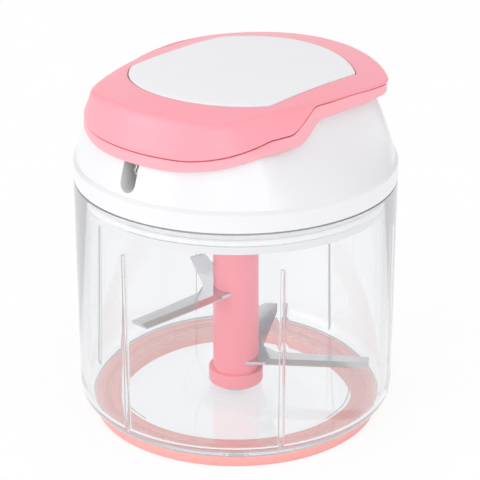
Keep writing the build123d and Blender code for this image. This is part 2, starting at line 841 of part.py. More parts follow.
# Inverted cup that holds the mainspring under the lid's roof.
with BuildPart() as spring_case:
    with BuildSketch(Plane.XZ):
        ring_profile(axle_boss_radius, case_radius, case_roof, case_top)
        ring_profile(case_radius - case_wall, case_radius, case_low, case_top)
    revolve()
    with BuildSketch(Plane.XY.offset(case_roof)):
        with Locations(*case_places):
            Circle(case_ear_radius)
        Circle(case_radius - case_wall / 2, mode=Mode.SUBTRACT)
    extrude(amount=case_wall)
    add(case_screw_group, mode=Mode.SUBTRACT)
spring_case.part.label = "spring_case"
export_step(spring_case.part, "parts/spring_case.step")

with BuildPart() as case_screws:
    add(case_screw_group)
case_screws.part.label = "case_screws"
export_step(case_screws.part, "parts/case_screws.step")

# Flat spiral spring: half turns whose radius grows by half the pitch each time.
spring_inner = spool_hub_radius + spring_strip
spring_outer = case_radius - case_wall - spring_strip
spring_pitch = (spring_outer - spring_inner) / spring_turns
with BuildPart() as mainspring:
    with BuildSketch(Plane.XY.offset(spring_low)):
        with BuildLine() as spiral:
            start = Vector(spring_inner, 0)
            for half_turn in range(2 * spring_turns):
                side = 1 if half_turn % 2 == 0 else -1
                radius = spring_inner + (half_turn + 0.5) * spring_pitch / 2
                end = Vector(start.X - side * 2 * radius, 0)
                middle = Vector((start.X + end.X) / 2, side * radius)
                ThreePointArc(start, middle, end)
                start = end
        trace(line_width=spring_strip)
    extrude(amount=spring_height)
mainspring.part.label = "mainspring"
export_step(mainspring.part, "parts/mainspring.step")

# Straight run of cord from the coil to the eyelet, cut off where it would touch the coil.
lead_angle = math.acos(cord_lay_radius / lead_corner)
leave = Vector(math.sin(lead_angle), -math.cos(lead_angle)) * cord_lay_radius
run = (Vector(0, -lead_corner) - leave).normalized()
clear_run = math.sqrt((coil_radius + cord_radius + lead_gap) ** 2 - cord_lay_radius**2)
lead_start = leave + run * clear_run
with BuildPart() as cord_lead:
    with BuildLine() as lead_path:
        FilletPolyline(
            (lead_start.X, lead_start.Y, eyelet_height),
            (0, -lead_corner, eyelet_height),
            (0, -lead_end, eyelet_height),
            radius=lead_corner_radius,
        )
    with BuildSketch(lead_path.line ^ 0):
        Circle(cord_radius)
    sweep()
cord_lead.part.label = "cord_lead"
export_step(cord_lead.part, "parts/cord_lead.step")

# ---------------------------------------------------------------- spool body
with BuildPart() as cord_spool:
    with BuildSketch(Plane.XZ):
        bore = axle_radius + running_gap
        ring_profile(bore, spool_drum_radius, spool_low, spool_top)
        ring_profile(bore, spool_flange_radius, spool_low, spool_groove_low)
        ring_profile(bore, spool_flange_radius, spool_groove_top, spool_top)
        ring_profile(bore, spool_hub_radius, spool_top, case_roof)
        with Locations(
            ((spool_recess_inner + spool_recess_outer) / 2, spool_top - spool_recess_depth / 2)
        ):
            Rectangle(
                spool_recess_outer - spool_recess_inner, spool_recess_depth, mode=Mode.SUBTRACT
            )
    revolve()
    add(spindle_screw_group, mode=Mode.SUBTRACT)
cord_spool.part.label = "cord_spool"
export_step(cord_spool.part, "parts/cord_spool.step")

with BuildPart() as cord_coil:
    with BuildSketch(Plane.XZ):
        coil_low = eyelet_height - (coil_turns - 1) * coil_pitch
        with Locations(*[(cord_lay_radius, coil_low + turn * coil_pitch) for turn in range(coil_turns)]):
            Circle(cord_radius)
        ring_profile(cord_lay_radius - cord_radius, cord_lay_radius, coil_low, eyelet_height)
    revolve()
cord_coil.part.label = "cord_coil"
export_step(cord_coil.part, "parts/cord_coil.step")

# Spindle under the spool: a bolted flange, a round journal and a hexagonal drive end.
with BuildPart() as drive_spindle:
    with BuildSketch(Plane.XY.offset(spindle_end)):
        RegularPolygon(socket_across_flats / 2 - hex_gap, 6, major_radius=False)
    extrude(amount=cover_low - spindle_end)
    chamfer(drive_spindle.faces().sort_by(Axis.Z)[0].edges(), spindle_chamfer)
    with BuildSketch(Plane.XY.offset(cover_low)):
        Circle(spindle_radius)
    extrude(amount=spindle_shoulder - cover_low)
    with BuildSketch(Plane.XY.offset(spindle_shoulder)):
        Circle(spindle_flange_radius)
    extrude(amount=spindle_flange)
    with Locations((0, 0, spool_low)):
        Hole(axle_radius + running_gap, spindle_bore_depth)
    add(spindle_screw_group, mode=Mode.SUBTRACT)
drive_spindle.part.label = "drive_spindle"
export_step(drive_spindle.part, "parts/drive_spindle.step")

with BuildPart() as spindle_screws:
    add(spindle_screw_group)
spindle_screws.part.label = "spindle_screws"
export_step(spindle_screws.part, "parts/spindle_screws.step")

# ---------------------------------------------------------------- handle body
handle_places = [
    (side * handle_screw_x, y)
    for side in (-1, 1)
    for y in (-handle_screw_front, handle_screw_back)
]
handle_screw_group = screw_set(handle_places, pan_low, handle_screw_length)
handle_outside = handle_form(0.0, 0.0)
handle_cavity = handle_form(handle_wall, handle_roof)
pan_limit = handle_form(handle_wall + handle_clearance, handle_roof + handle_clearance)
above_parting = above_line(parting_line, parting_rounds)
above_lower_edge = above_line(lower_line, lower_rounds)
crown_under_panel = crown(panel_depth)
panel_slab = crown(-panel_proud)
panel_bottom = crown(panel_depth - panel_seat)
lid_clear = lid_form(handle_clearance)
pan_outside = lid_form(handle_clearance + pan_thickness)
lower_least = lid_form(handle_clearance + lower_wall)

with BuildPart() as panel_pocket:
    with BuildSketch(Plane.XY.offset(skirt_low)):
        add(panel_outline(panel_gap))
    extrude(amount=crown_height - skirt_low + cut_past)
    add(crown_under_panel, mode=Mode.SUBTRACT)

# Upper shell: lofted skirt under a toroidal crown, cut along the stepped parting line.
with BuildPart() as handle_top:
    add(handle_outside)
    add(above_parting, mode=Mode.INTERSECT)
    add(handle_cavity, mode=Mode.SUBTRACT)
    with BuildSketch(Plane.XY.offset(pan_top)):
        with Locations(*handle_places):
            Circle(handle_boss_radius)
    extrude(amount=handle_boss_high - pan_top)
    add(panel_pocket.part, mode=Mode.SUBTRACT)
    add(lid_clear, mode=Mode.SUBTRACT)
    add(handle_screw_group, mode=Mode.SUBTRACT)
handle_top.part.label = "handle_top"
export_step(handle_top.part, "parts/handle_top.step")

with BuildPart() as handle_panel:
    with BuildSketch(Plane.XY.offset(skirt_low)):
        add(panel_outline(0.0))
    extrude(amount=crown_height - skirt_low + cut_past)
    add(panel_slab, mode=Mode.INTERSECT)
    add(panel_bottom, mode=Mode.SUBTRACT)
handle_panel.part.label = "handle_panel"
export_step(handle_panel.part, "parts/handle_panel.step")

# Pan over the lid's top, kept inside the upper shell.
with BuildPart() as handle_pan:
    add(pan_outside)
    add(pan_limit, mode=Mode.INTERSECT)

# Lower shell: a tucked-in band below the parting line, joined to the pan.
with BuildPart() as handle_base:
    with BuildSketch(Plane.XY.offset(lid_top)):
        add(tucked_outline(tuck_inset))
    extrude(amount=crown_height - lid_top)
    extrude(handle_base.faces().sort_by(Axis.Z)[0], amount=lid_top - seam - shoulder_height)
    add(lower_least)
    add(above_parting, mode=Mode.SUBTRACT)
    with BuildSketch(Plane.XY.offset(pan_top)):
        add(tucked_outline(tuck_inset + handle_wall))
    extrude(amount=crown_height - pan_top, mode=Mode.SUBTRACT)
    add(handle_pan.part)
    add(above_lower_edge, mode=Mode.INTERSECT)
    add(lid_clear, mode=Mode.SUBTRACT)
    with Locations((0, -cord_hole_y, pan_top)):
        Hole(cord_hole_radius, 2 * pan_thickness)
    add(handle_screw_group, mode=Mode.SUBTRACT)
handle_base.part.label = "handle_base"
export_step(handle_base.part, "parts/handle_base.step")

with BuildPart() as handle_screws:
    add(handle_screw_group)
handle_screws.part.label = "handle_screws"
export_step(handle_screws.part, "parts/handle_screws.step")

# Short free cord between the eyelet and the handle: bowed forward in the slot, up the hole.
cord_rise = pan_top - eyelet_height
cord_route = [Vector(0, -slot_back - cord_start_out, eyelet_height)]
for sideways, out, share in cord_ways:
    cord_route.append(Vector(sideways, -slot_back - out, eyelet_height + share * cord_rise))
cord_route.append(Vector(0, -cord_hole_y, pan_top + stop_height / 2))
with BuildPart() as pull_cord:
    with BuildLine() as cord_path:
        FilletPolyline(*cord_route, radius=route_radii(cord_route))
    with BuildSketch(cord_path.line ^ 0):
        Circle(cord_radius)
    sweep()
pull_cord.part.label = "pull_cord"
export_step(pull_cord.part, "parts/pull_cord.step")

with BuildPart() as cord_stop:
    with BuildSketch(Plane.XY.offset(pan_top)):
        with Locations((0, -cord_hole_y)):
            Circle(stop_radius)
    extrude(amount=stop_height)
    chamfer(cord_stop.edges(), stop_height / 5)
    add(pull_cord.part, mode=Mode.SUBTRACT)
cord_stop.part.label = "cord_stop"
export_step(cord_stop.part, "parts/cord_stop.step")

for name, path, piece in (
    ("cord_lead", lead_path.line, cord_lead.part),
    ("pull_cord", cord_path.line, pull_cord.part),
):
    bends = [round(edge.radius, 2) for edge in path.edges().filter_by(GeomType.CIRCLE)]
    section = math.pi * cord_radius**2 * sum(edge.length for edge in path.edges())
    print(f"{name}: bend radii {bends}, volume {piece.volume:.2f}, section times length {section:.2f}")
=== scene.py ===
"""Looks of a hand-pulled food chopper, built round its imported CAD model.

Sizes are written in millimetres, as in the CAD source, and turned to metres when a mesh is made.
The cord slot faces -Y, the axis of the bowl is Z and the origin is on the table.
"""

import logging
import math
from collections.abc import Callable
from dataclasses import dataclass
from enum import Enum
from functools import partial

import bmesh
import bpy
import numpy as np
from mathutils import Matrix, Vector
from mathutils.bvhtree import BVHTree

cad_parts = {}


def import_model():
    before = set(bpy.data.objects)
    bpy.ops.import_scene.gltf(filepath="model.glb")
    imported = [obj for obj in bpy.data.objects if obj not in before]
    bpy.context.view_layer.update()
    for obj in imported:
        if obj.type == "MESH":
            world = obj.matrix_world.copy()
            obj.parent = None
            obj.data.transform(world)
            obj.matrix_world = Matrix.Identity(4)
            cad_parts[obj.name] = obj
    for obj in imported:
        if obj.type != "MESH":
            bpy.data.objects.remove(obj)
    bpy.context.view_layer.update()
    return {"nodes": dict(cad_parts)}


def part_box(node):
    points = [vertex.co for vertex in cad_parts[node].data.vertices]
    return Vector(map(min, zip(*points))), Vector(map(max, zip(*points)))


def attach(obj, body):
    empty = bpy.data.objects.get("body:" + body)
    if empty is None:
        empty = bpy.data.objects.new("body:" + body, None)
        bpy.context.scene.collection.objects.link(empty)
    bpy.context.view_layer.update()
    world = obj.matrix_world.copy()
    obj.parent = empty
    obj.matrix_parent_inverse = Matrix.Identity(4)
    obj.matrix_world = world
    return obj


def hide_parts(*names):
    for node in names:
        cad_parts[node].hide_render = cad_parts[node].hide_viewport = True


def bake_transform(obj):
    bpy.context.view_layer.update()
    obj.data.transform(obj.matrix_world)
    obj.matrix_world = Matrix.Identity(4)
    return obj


Triple = tuple[float, float, float]
Skin = tuple[np.ndarray, list[tuple[int, ...]]]  # points in millimetres, and faces
Adder = Callable[..., bpy.types.Node]  # add_node, tied to one tree

MM = 0.001
LOG = logging.getLogger("chopper")
SHARP_EDGE = 35.0  # degrees by which an edge turns at least when it stays sharp

# The free cord's points: the CAD route's ends, with its slack lying forward against the side of
# the slot.
PULL_ROUTE = (
    (0.0, -46.95, 114.2),
    (1.0, -54.6, 114.0),
    (2.5, -58.4, 117.0),
    (2.3, -55.8, 122.4),
    (1.0, -53.0, 129.0),
    (0.0, -50.0, 136.0),
)

# Kinds of node that the trees use often, and settings that go with them.
MATH, VECTOR, NOISE = "ShaderNodeMath", "ShaderNodeVectorMath", "ShaderNodeTexNoise"
RAMP, RANGE, BUMP = "ShaderNodeValToRGB", "ShaderNodeMapRange", "ShaderNodeBump"
MIX, MIX_SHADER, RAY = "ShaderNodeMix", "ShaderNodeMixShader", "ShaderNodeLightPath"
PRINCIPLED, EMISSION = "ShaderNodeBsdfPrincipled", "ShaderNodeEmission"
BACKGROUND, SEPARATE = "ShaderNodeBackground", "ShaderNodeSeparateXYZ"
STORE, NAMED = "GeometryNodeStoreNamedAttribute", "GeometryNodeInputNamedAttribute"
RGBA = {"data_type": "RGBA"}
TIMES, TIMES_PLUS = {"operation": "MULTIPLY"}, {"operation": "MULTIPLY_ADD"}
OVER, REMAINDER = {"operation": "DIVIDE"}, {"operation": "MODULO"}
LARGER, OVER_LIMIT = {"operation": "MAXIMUM"}, {"operation": "GREATER_THAN"}
SINE, COSINE = {"operation": "SINE"}, {"operation": "COSINE"}
SCALE = {"operation": "SCALE"}

SCATTER = 1.5 * MM  # how far light wanders under the skin of plastic and rubber
YARN_DIP = 0.45  # share of its own radius by which a yarn rises and dips where it crosses others
# Share by which a finish's roughness varies. The range of each finish that is open to view stays
# wholly above or below 0.274, because hairline specks show where one crosses that.
GLOSS_SPREAD = 0.12


# ---------------------------------------------------------------- colours and shader nodes
def linear(code: str) -> tuple[float, float, float, float]:
    """Turns an sRGB hex code to linear RGBA.

    Args:
        code: six hex digits after a hash sign.

    Returns:
        Red, green, blue and an alpha of 1.
    """
    channels = [int(code[i : i + 2], 16) / 255 for i in (1, 3, 5)]
    toe, knee, shift, gain, power = 12.92, 0.04045, 0.055, 1.055, 2.4
    return (*[c / toe if c <= knee else ((c + shift) / gain) ** power for c in channels], 1.0)


def add_node(
    tree: bpy.types.NodeTree, kind: str, settings: dict | None = None, **sockets: object
) -> bpy.types.Node:
    """Adds a node with its settings, values and links.

    Args:
        tree: the tree that gets the node.
        kind: the node's type.
        settings: properties of the node itself.
        **sockets: a value, an output socket or a node, which stands for its first output, for
            each input, named with underscores for spaces, or i0, i1 and so on by its place.

    Returns:
        The node.
    """
    node = tree.nodes.new(kind)
    for name, value in (settings or {}).items():
        setattr(node, name, value)
    for name, value in sockets.items():
        place = name[1:]
        socket = node.inputs[int(place) if place.isdigit() else name.replace("_", " ")]
        if isinstance(value, bpy.types.Node):
            value = value.outputs[0]
        if isinstance(value, bpy.types.NodeSocket):
            tree.links.new(value, socket)
        else:
            socket.default_value = value
    return node


def set_ramp(node: bpy.types.Node, stops: list[tuple[float, str]]) -> None:
    """Gives a colour ramp its stops, each a place from 0 to 1 and a hex colour.

    Args:
        node: the colour ramp.
        stops: each stop's place and hex colour.
    """
    ramp = node.color_ramp
    while len(ramp.elements) < len(stops):
        ramp.elements.new(1.0)
    for element, (place, code) in zip(ramp.elements, stops):
        element.position = place
        element.color = linear(code)


@dataclass(frozen=True)
class Surface:
    """What all finishes share: a name, and a material that reads Object coordinates."""

    name: str

    def build(self) -> bpy.types.Material:
        """Makes the material.

        Returns:
            The material.
        """
        material = bpy.data.materials.new(self.name)
        material.use_nodes = True
        tree = material.node_tree
        tree.nodes.clear()
        add = partial(add_node, tree)
        place = add("ShaderNodeTexCoord").outputs["Object"]
        add("ShaderNodeOutputMaterial", Surface=self.shader(add, place))
        return material

    def shader(self, add: Adder, place: bpy.types.NodeSocket) -> bpy.types.Node:
        """Adds the finish's own nodes.

        Args:
            add: adds a node to the material.
            place: the Object coordinates.

        Returns:
            The node whose first output is the finished shader.
        """
        raise NotImplementedError


@dataclass(frozen=True)
class MouldedPlastic(Surface):
    """Injection-moulded ABS: a glossy, faintly rippled skin with handling marks in its gloss."""

    colour: str
    shade: str  # colour of the faint flow clouds in the skin
    roughness: float = 0.22
    ripple_mm: float = 9.0  # wavelength of the sink ripple
    ripple: float = 0.05
    grain_mm: float = 0.0  # spark-eroded grain, drawn coarser than the real 0.1 mm so that it shows
    grain: float = 0.0
    subsurface: float = 0.0

    def shader(self, add: Adder, place: bpy.types.NodeSocket) -> bpy.types.Node:
        """Adds flow clouds, smears in the gloss, the ripple and any grain.

        Args:
            add: adds a node to the material.
            place: the Object coordinates.

        Returns:
            The node whose first output is the finished shader.
        """
        cloud = add(NOISE, Vector=place, Scale=1 / (22 * MM), Detail=3.0, Roughness=0.6)
        tint = add(RAMP, Fac=cloud)
        set_ramp(tint, [(0.0, self.shade), (1.0, self.colour)])
        smear = add(NOISE, Vector=place, Scale=1 / (8 * MM), Detail=2.0, Roughness=0.5)
        gloss = add(
            RANGE,
            Value=smear,
            To_Min=self.roughness * (1 - GLOSS_SPREAD),
            To_Max=self.roughness * (1 + GLOSS_SPREAD),
        )
        ripple = add(NOISE, Vector=place, Scale=1 / (self.ripple_mm * MM), Detail=1.0)
        bump = add(BUMP, Strength=self.ripple, Distance=0.6 * MM, Height=ripple)
        if self.grain:
            grain = add(NOISE, Vector=place, Scale=1 / (self.grain_mm * MM), Detail=2.0)
            bump = add(BUMP, Strength=self.grain, Distance=0.05 * MM, Height=grain, Normal=bump)
        return add(
            PRINCIPLED,
            Base_Color=tint,
            Roughness=gloss,
            IOR=1.53,
            Normal=bump,
            Subsurface_Weight=self.subsurface,
            Subsurface_Scale=SCATTER,
        )


@dataclass(frozen=True)
class ClearPlastic(Surface):
    """Injection-moulded clear styrene acrylonitrile: hard, bright and all but colourless.

    Shadow and diffuse rays pass straight through, so that the light reaches what is inside.
    A ray caught between the surfaces ends on a painted glow, a flat colour that stands in for the
    light of the surroundings that it would leave to.
    The rim and the foot's edge are painted with shade, as thin dark lines that stand in for the
    shade in the joints.
    """

    name: str = "clear_san_moulded"
    colour: str = "#FAFBFC"
    passed: str = "#FCFCFC"  # tint of the light that passes straight through
    trapped_painted_glow: str = "#BDBDC1"  # painted glow that a ray meets that keeps bouncing inside the wall
    lost_painted_shade: str = "#3C3C40"  # painted dark shade that it meets behind many walls, which draws the far ribs dark
    joint_painted_shade: str = "#828287"  # painted shade on the two edges that stand in a narrow gap
    roughness: float = 0.015
    rim_height: float = 98.75  # in millimetres; the rim above it stands under the lid and is painted with shade
    foot_height: float = 5.65  # the corner below it stands on the ring and is painted with shade
    foot_radius: float = 57.7
    most_bounces: float = 2.5  # inside the wall, before a ray counts as trapped
    most_turns: float = 8.5  # of any kind, before a ray counts as lost

    def shader(self, add: Adder, place: bpy.types.NodeSocket) -> bpy.types.Node:
        """Adds the clear wall, the painted shade on its edges and the painted glow where caught
        rays end.

        Args:
            add: adds a node to the material.
            place: the Object coordinates.

        Returns:
            The node whose first output is the finished shader.
        """
        flow = add(NOISE, Vector=place, Scale=1 / (14 * MM), Detail=2.0, Roughness=0.4)
        haze = add(
            RANGE,
            Value=flow,
            From_Min=0.35,
            From_Max=0.7,
            To_Min=self.roughness * 0.5,
            To_Max=self.roughness * 1.8,
        )
        bump = add(BUMP, Strength=0.02, Distance=0.3 * MM, Height=flow)
        height = add(SEPARATE, Vector=place).outputs["Z"]
        flat = add("ShaderNodeMapping", Vector=place, Scale=(1.0, 1.0, 0.0))
        radius = add(VECTOR, {"operation": "LENGTH"}, i0=flat).outputs["Value"]
        # Painted shade: glass above the rim height, and in the foot's outer corner, is tinted dark
        # to stand in for the shade in those joints.
        high = add(MATH, OVER_LIMIT, i0=height, i1=self.rim_height * MM)
        low = add(MATH, {"operation": "LESS_THAN"}, i0=height, i1=self.foot_height * MM)
        wide = add(MATH, OVER_LIMIT, i0=radius, i1=self.foot_radius * MM)
        corner = add(MATH, TIMES, i0=low, i1=wide)
        painted_shade_mask = add(MATH, LARGER, i0=high, i1=corner)
        tint = add(MIX, RGBA, i0=painted_shade_mask, i6=linear(self.colour), i7=linear(self.joint_painted_shade))
        wall = add(
            PRINCIPLED,
            Base_Color=tint.outputs["Result"],
            Roughness=haze,
            IOR=1.57,
            Transmission_Weight=1.0,
            Normal=bump,
        )
        clear = add("ShaderNodeBsdfTransparent", Color=linear(self.passed))
        ray = add(RAY).outputs
        # Painted glow: a caught ray ends on a flat emission colour, light grey, or painted dark
        # shade behind many walls, in place of the light it would find.
        bounced = add(MATH, OVER_LIMIT, i0=ray["Glossy Depth"], i1=self.most_bounces)
        spent = add(MATH, OVER_LIMIT, i0=ray["Ray Depth"], i1=self.most_turns)
        caught = add(MATH, LARGER, i0=bounced, i1=spent)
        ends = add(MIX, RGBA, i0=spent, i6=linear(self.trapped_painted_glow), i7=linear(self.lost_painted_shade))
        painted_glow = add(EMISSION, Color=ends.outputs["Result"], Strength=1.0)
        seen = add(MIX_SHADER, i0=caught, i1=wall, i2=painted_glow)
        passing = add(MATH, LARGER, i0=ray["Is Shadow Ray"], i1=ray["Is Diffuse Ray"])
        return add(MIX_SHADER, i0=passing, i1=seen, i2=clear)


@dataclass(frozen=True)
class SoftRubber(Surface):
    """Moulded thermoplastic elastomer: matt, a little translucent, with a fine dusty bloom."""

    colour: str
    shade: str
    roughness: float = 0.62

    def shader(self, add: Adder, place: bpy.types.NodeSocket) -> bpy.types.Node:
        """Adds the bloom and the pores.

        Args:
            add: adds a node to the material.
            place: the Object coordinates.

        Returns:
            The node whose first output is the finished shader.
        """
        bloom = add(NOISE, Vector=place, Scale=1 / (5 * MM), Detail=5.0, Roughness=0.65)
        tint = add(RAMP, Fac=bloom)
        set_ramp(tint, [(0.32, self.shade), (0.68, self.colour)])
        pore = add(NOISE, Vector=place, Scale=1 / (0.5 * MM), Detail=2.0)
        bump = add(BUMP, Strength=0.25, Distance=0.05 * MM, Height=pore)
        return add(
            PRINCIPLED,
            Base_Color=tint,
            Roughness=self.roughness,
            IOR=1.5,
            Normal=bump,
            Subsurface_Weight=0.15,
            Subsurface_Scale=SCATTER,
        )


class Lay(Enum):
    """Which way a metal's finishing marks run."""

    ALONG_X = (0.04, 1.0, 1.0)
    NONE = (1.0, 1.0, 1.0)


@dataclass(frozen=True)
class WorkedMetal(Surface):
    """A bare metal with the fine marks of the tool that finished it."""

    colour: str
    shade: str
    roughness: float
    lay: Lay = Lay.NONE
    turn: float = 0.0  # degrees about Z from X to the way that the marks run
    mark_mm: float = 0.35  # spacing of the marks, coarser than the real 0.05 mm so that they show

    def shader(self, add: Adder, place: bpy.types.NodeSocket) -> bpy.types.Node:
        """Adds the marks, in the colour, the gloss and the relief.

        Args:
            add: adds a node to the material.
            place: the Object coordinates.

        Returns:
            The node whose first output is the finished shader.
        """
        turned = add(
            "ShaderNodeMapping",
            {"vector_type": "TEXTURE"},
            Vector=place,
            Rotation=(0.0, 0.0, math.radians(self.turn)),
        )
        stretched = add("ShaderNodeMapping", Vector=turned, Scale=self.lay.value)
        scale = 1 / (self.mark_mm * MM)
        marks = add(NOISE, Vector=stretched, Scale=scale, Detail=3.0, Roughness=0.7)
        low, high = 0.3, 0.7  # what the noise mostly lies between
        tint = add(RAMP, Fac=marks)
        set_ramp(tint, [(low, self.shade), (high, self.colour)])
        gloss = add(
            RANGE,
            Value=marks,
            From_Min=low,
            From_Max=high,
            To_Min=self.roughness * (1 - GLOSS_SPREAD),
            To_Max=self.roughness * (1 + GLOSS_SPREAD),
        )
        bump = add(BUMP, Strength=0.12, Distance=0.02 * MM, Height=marks)
        return add(PRINCIPLED, Base_Color=tint, Metallic=1.0, Roughness=gloss, Normal=bump)


@dataclass(frozen=True)
class BraidedYarn(Surface):
    """Braided polyester cord: dark and pale yarns, each a bundle of fine fibres."""

    name: str = "cord_polyester_braided"
    pale: str = "#E6DFD8"
    dark: str = "#2E2A2B"

    def shader(self, add: Adder, place: bpy.types.NodeSocket) -> bpy.types.Node:
        """Adds the fibres; each yarn's own shade is in the attribute named yarn.

        Args:
            add: adds a node to the material.
            place: the Object coordinates.

        Returns:
            The node whose first output is the finished shader.
        """
        yarn = add("ShaderNodeAttribute", {"attribute_name": "yarn"}).outputs["Fac"]
        fibre = add(NOISE, Vector=place, Scale=1 / (0.12 * MM), Detail=2.0)
        tint = add(MIX, RGBA, i0=yarn, i6=linear(self.pale), i7=linear(self.dark))
        bump = add(BUMP, Strength=0.5, Distance=0.04 * MM, Height=fibre)
        return add(
            PRINCIPLED,
            Base_Color=tint.outputs["Result"],
            Roughness=0.75,
            Sheen_Weight=0.3,
            Normal=bump,
        )


@dataclass(frozen=True)
class TablePaper(Surface):
    """Matt white paper on the table, lifted to white for the eye and for what gloss shows."""

    name: str = "table_paper_matt"
    lift: float = 0.82  # share of plain white in the table as the eye sees it

    def shader(self, add: Adder, place: bpy.types.NodeSocket) -> bpy.types.Node:
        """Adds the paper, which keeps the object's shadow, and the white laid over it.

        Args:
            add: adds a node to the material.
            place: the Object coordinates.

        Returns:
            The node whose first output is the finished shader.
        """
        fibre = add(NOISE, Vector=place, Scale=1 / (30 * MM), Detail=2.0)
        tint = add(RAMP, Fac=fibre)
        set_ramp(tint, [(0.3, "#FAFAFA"), (0.7, "#FDFDFD")])
        paper = add("ShaderNodeBsdfDiffuse", Color=tint, Roughness=0.5)
        white = add(EMISSION, Color=linear("#FFFFFF"), Strength=1.0)
        lifted = add(MIX_SHADER, i0=self.lift, i1=paper, i2=white)
        ray = add(RAY).outputs
        mirror = add(MATH, LARGER, i0=ray["Is Glossy Ray"], i1=ray["Is Transmission Ray"])
        looked_at = add(MATH, LARGER, i0=mirror, i1=ray["Is Camera Ray"])
        return add(MIX_SHADER, i0=looked_at, i1=paper, i2=lifted)


# ---------------------------------------------------------------- meshes
def linked(name: str, data: bpy.types.ID) -> bpy.types.Object:
    """Makes an object with that data and links it to the scene.

    Args:
        name: the object's name.
        data: its mesh, curve, lamp or camera.

    Returns:
        The object.
    """
    made = bpy.data.objects.new(name, data)
    bpy.context.scene.collection.objects.link(made)
    return made


def smooth(mesh: bpy.types.Mesh, sharp: float = SHARP_EDGE) -> None:
    """Shades a mesh smooth, but for edges that turn by more than so many degrees."""
    mesh.shade_smooth()
    mesh.set_sharp_from_angle(angle=math.radians(sharp))


def mesh_object(
    name: str,
    shape: Skin,
    material: bpy.types.Material,
    sharp: float = SHARP_EDGE,
) -> bpy.types.Object:
    """Makes a smooth-shaded mesh object, whose place is in its mesh.

    Args:
        name: the object's name.
        shape: vertex positions in millimetres, and the vertex numbers of each face.
        material: what it is made of.
        sharp: edges that turn by more than this many degrees stay sharp.

    Returns:
        The object, linked to the scene.
    """
    points, faces = shape
    mesh = bpy.data.meshes.new(name)
    mesh.from_pydata((np.asarray(points) * MM).tolist(), [], faces)
    mesh.validate()
    mesh.materials.append(material)
    smooth(mesh, sharp)
    return linked(name, mesh)


def quarter(steps: int, first: int = 0) -> list[tuple[float, float]]:
    """Points of a unit quarter circle, from (1, 0) to (0, 1).

    Args:
        steps: how many equal steps it takes.
        first: the step that it starts at.

    Returns:
        Cosine and sine at each step.
    """
    turns = [step / steps * math.pi / 2 for step in range(first, steps + 1)]
    return [(math.cos(turn), math.sin(turn)) for turn in turns]


def between(first: np.ndarray, last: np.ndarray, steps: int, start: int = 1) -> list[np.ndarray]:
    """Values at even steps from one to another, both of them arrays."""
    return [first + (last - first) * step / steps for step in range(start, steps + 1)]


def rounded_corners(corners: tuple[Triple, ...] | list[Triple], steps: int = 6) -> np.ndarray:
    """Rounds the corners of an open line.

    Args:
        corners: (first coordinate, second coordinate, rounding radius) of each corner.
        steps: points on each rounded corner.

    Returns:
        The points of the line.
    """
    straight = 1e-3  # how near to straight a corner is left alone, in radians
    most = 0.49  # share of a side that a rounding may take
    points = [np.array(corners[0][:2])]
    for before, here, after in zip(corners, corners[1:], corners[2:]):
        corner, radius = np.array(here[:2]), here[2]
        back = np.array(before[:2]) - corner
        ahead = np.array(after[:2]) - corner
        back_length, ahead_length = np.linalg.norm(back), np.linalg.norm(ahead)
        back, ahead = back / back_length, ahead / ahead_length
        half = math.acos(max(-1.0, min(1.0, float(back @ ahead)))) / 2
        if radius <= 0 or half > math.pi / 2 - straight:
            points.append(corner)
            continue
        reach = min(radius / math.tan(half), most * back_length, most * ahead_length)
        radius = reach * math.tan(half)
        middle = corner + (back + ahead) / np.linalg.norm(back + ahead) * radius / math.sin(half)
        first, last = corner + back * reach - middle, corner + ahead * reach - middle
        sweep = math.pi - 2 * half
        for step in range(steps + 1):
            share = step / steps
            points.append(
                middle
                + (math.sin((1 - share) * sweep) * first + math.sin(share * sweep) * last)
                / math.sin(sweep)
            )
    points.append(np.array(corners[-1][:2]))
    return np.array(points)


def skin(rings: list[np.ndarray], closed: bool = False) -> Skin:
    """Joins rings of points to one skin; a ring of one point is a pole.

    Args:
        rings: the rings, each with the same number of points or with one, ordered so that faces
            between ring n and ring n + 1 look outwards for a ring that runs counterclockwise
            seen from above when the rings go down the outside.
        closed: whether the last ring joins the first.

    Returns:
        The points and the faces.
    """
    starts = np.cumsum([0] + [len(ring) for ring in rings])
    faces = []
    pairs = list(zip(range(len(rings) - 1), range(1, len(rings))))
    if closed:
        pairs.append((len(rings) - 1, 0))
    count = max(len(ring) for ring in rings)
    for upper, lower in pairs:
        a, b = starts[upper], starts[lower]
        for i in range(count):
            j = (i + 1) % count
            if len(rings[upper]) == 1:
                faces.append((a, b + i, b + j))
            elif len(rings[lower]) == 1:
                faces.append((a + j, a + i, b))
            else:
                faces.append((a + j, a + i, b + i, b + j))
    return np.vstack(rings), faces


def pole(height: float) -> np.ndarray:
    """A ring of one point on the axis, where a skin closes."""
    return np.array([[0.0, 0.0, height]])


def ring_at(turns: np.ndarray, radii: np.ndarray | float, height: float) -> np.ndarray:
    """A level ring, with its points at given angles and distances from the axis."""
    level = np.full(len(turns), height)
    return np.column_stack((radii * np.cos(turns), radii * np.sin(turns), level))


def turned_rings(
    profile: np.ndarray | list[tuple[float, float]], turns: np.ndarray
) -> list[np.ndarray]:
    """Turns a profile of (radius, height) about the axis.

    Args:
        profile: the profile's points.
        turns: the angles of the ring's points.

    Returns:
        One ring for each point, or a pole where the radius is 0.
    """
    on_axis = 1e-6
    return [
        pole(height) if radius < on_axis else ring_at(turns, radius, height)
        for radius, height in profile
    ]


def even_turns(count: int) -> np.ndarray:
    """Angles of a full circle, evenly spaced."""
    return np.arange(count) * 2 * math.pi / count


def joined(*pieces: Skin) -> Skin:
    """Puts several skins in one mesh.

    Args:
        *pieces: the skins.

    Returns:
        One skin that holds them all.
    """
    points, faces, start = [], [], 0
    for piece_points, piece_faces in pieces:
        points.append(piece_points)
        faces += [tuple(int(v) + start for v in face) for face in piece_faces]
        start += len(piece_points)
    return np.vstack(points), faces


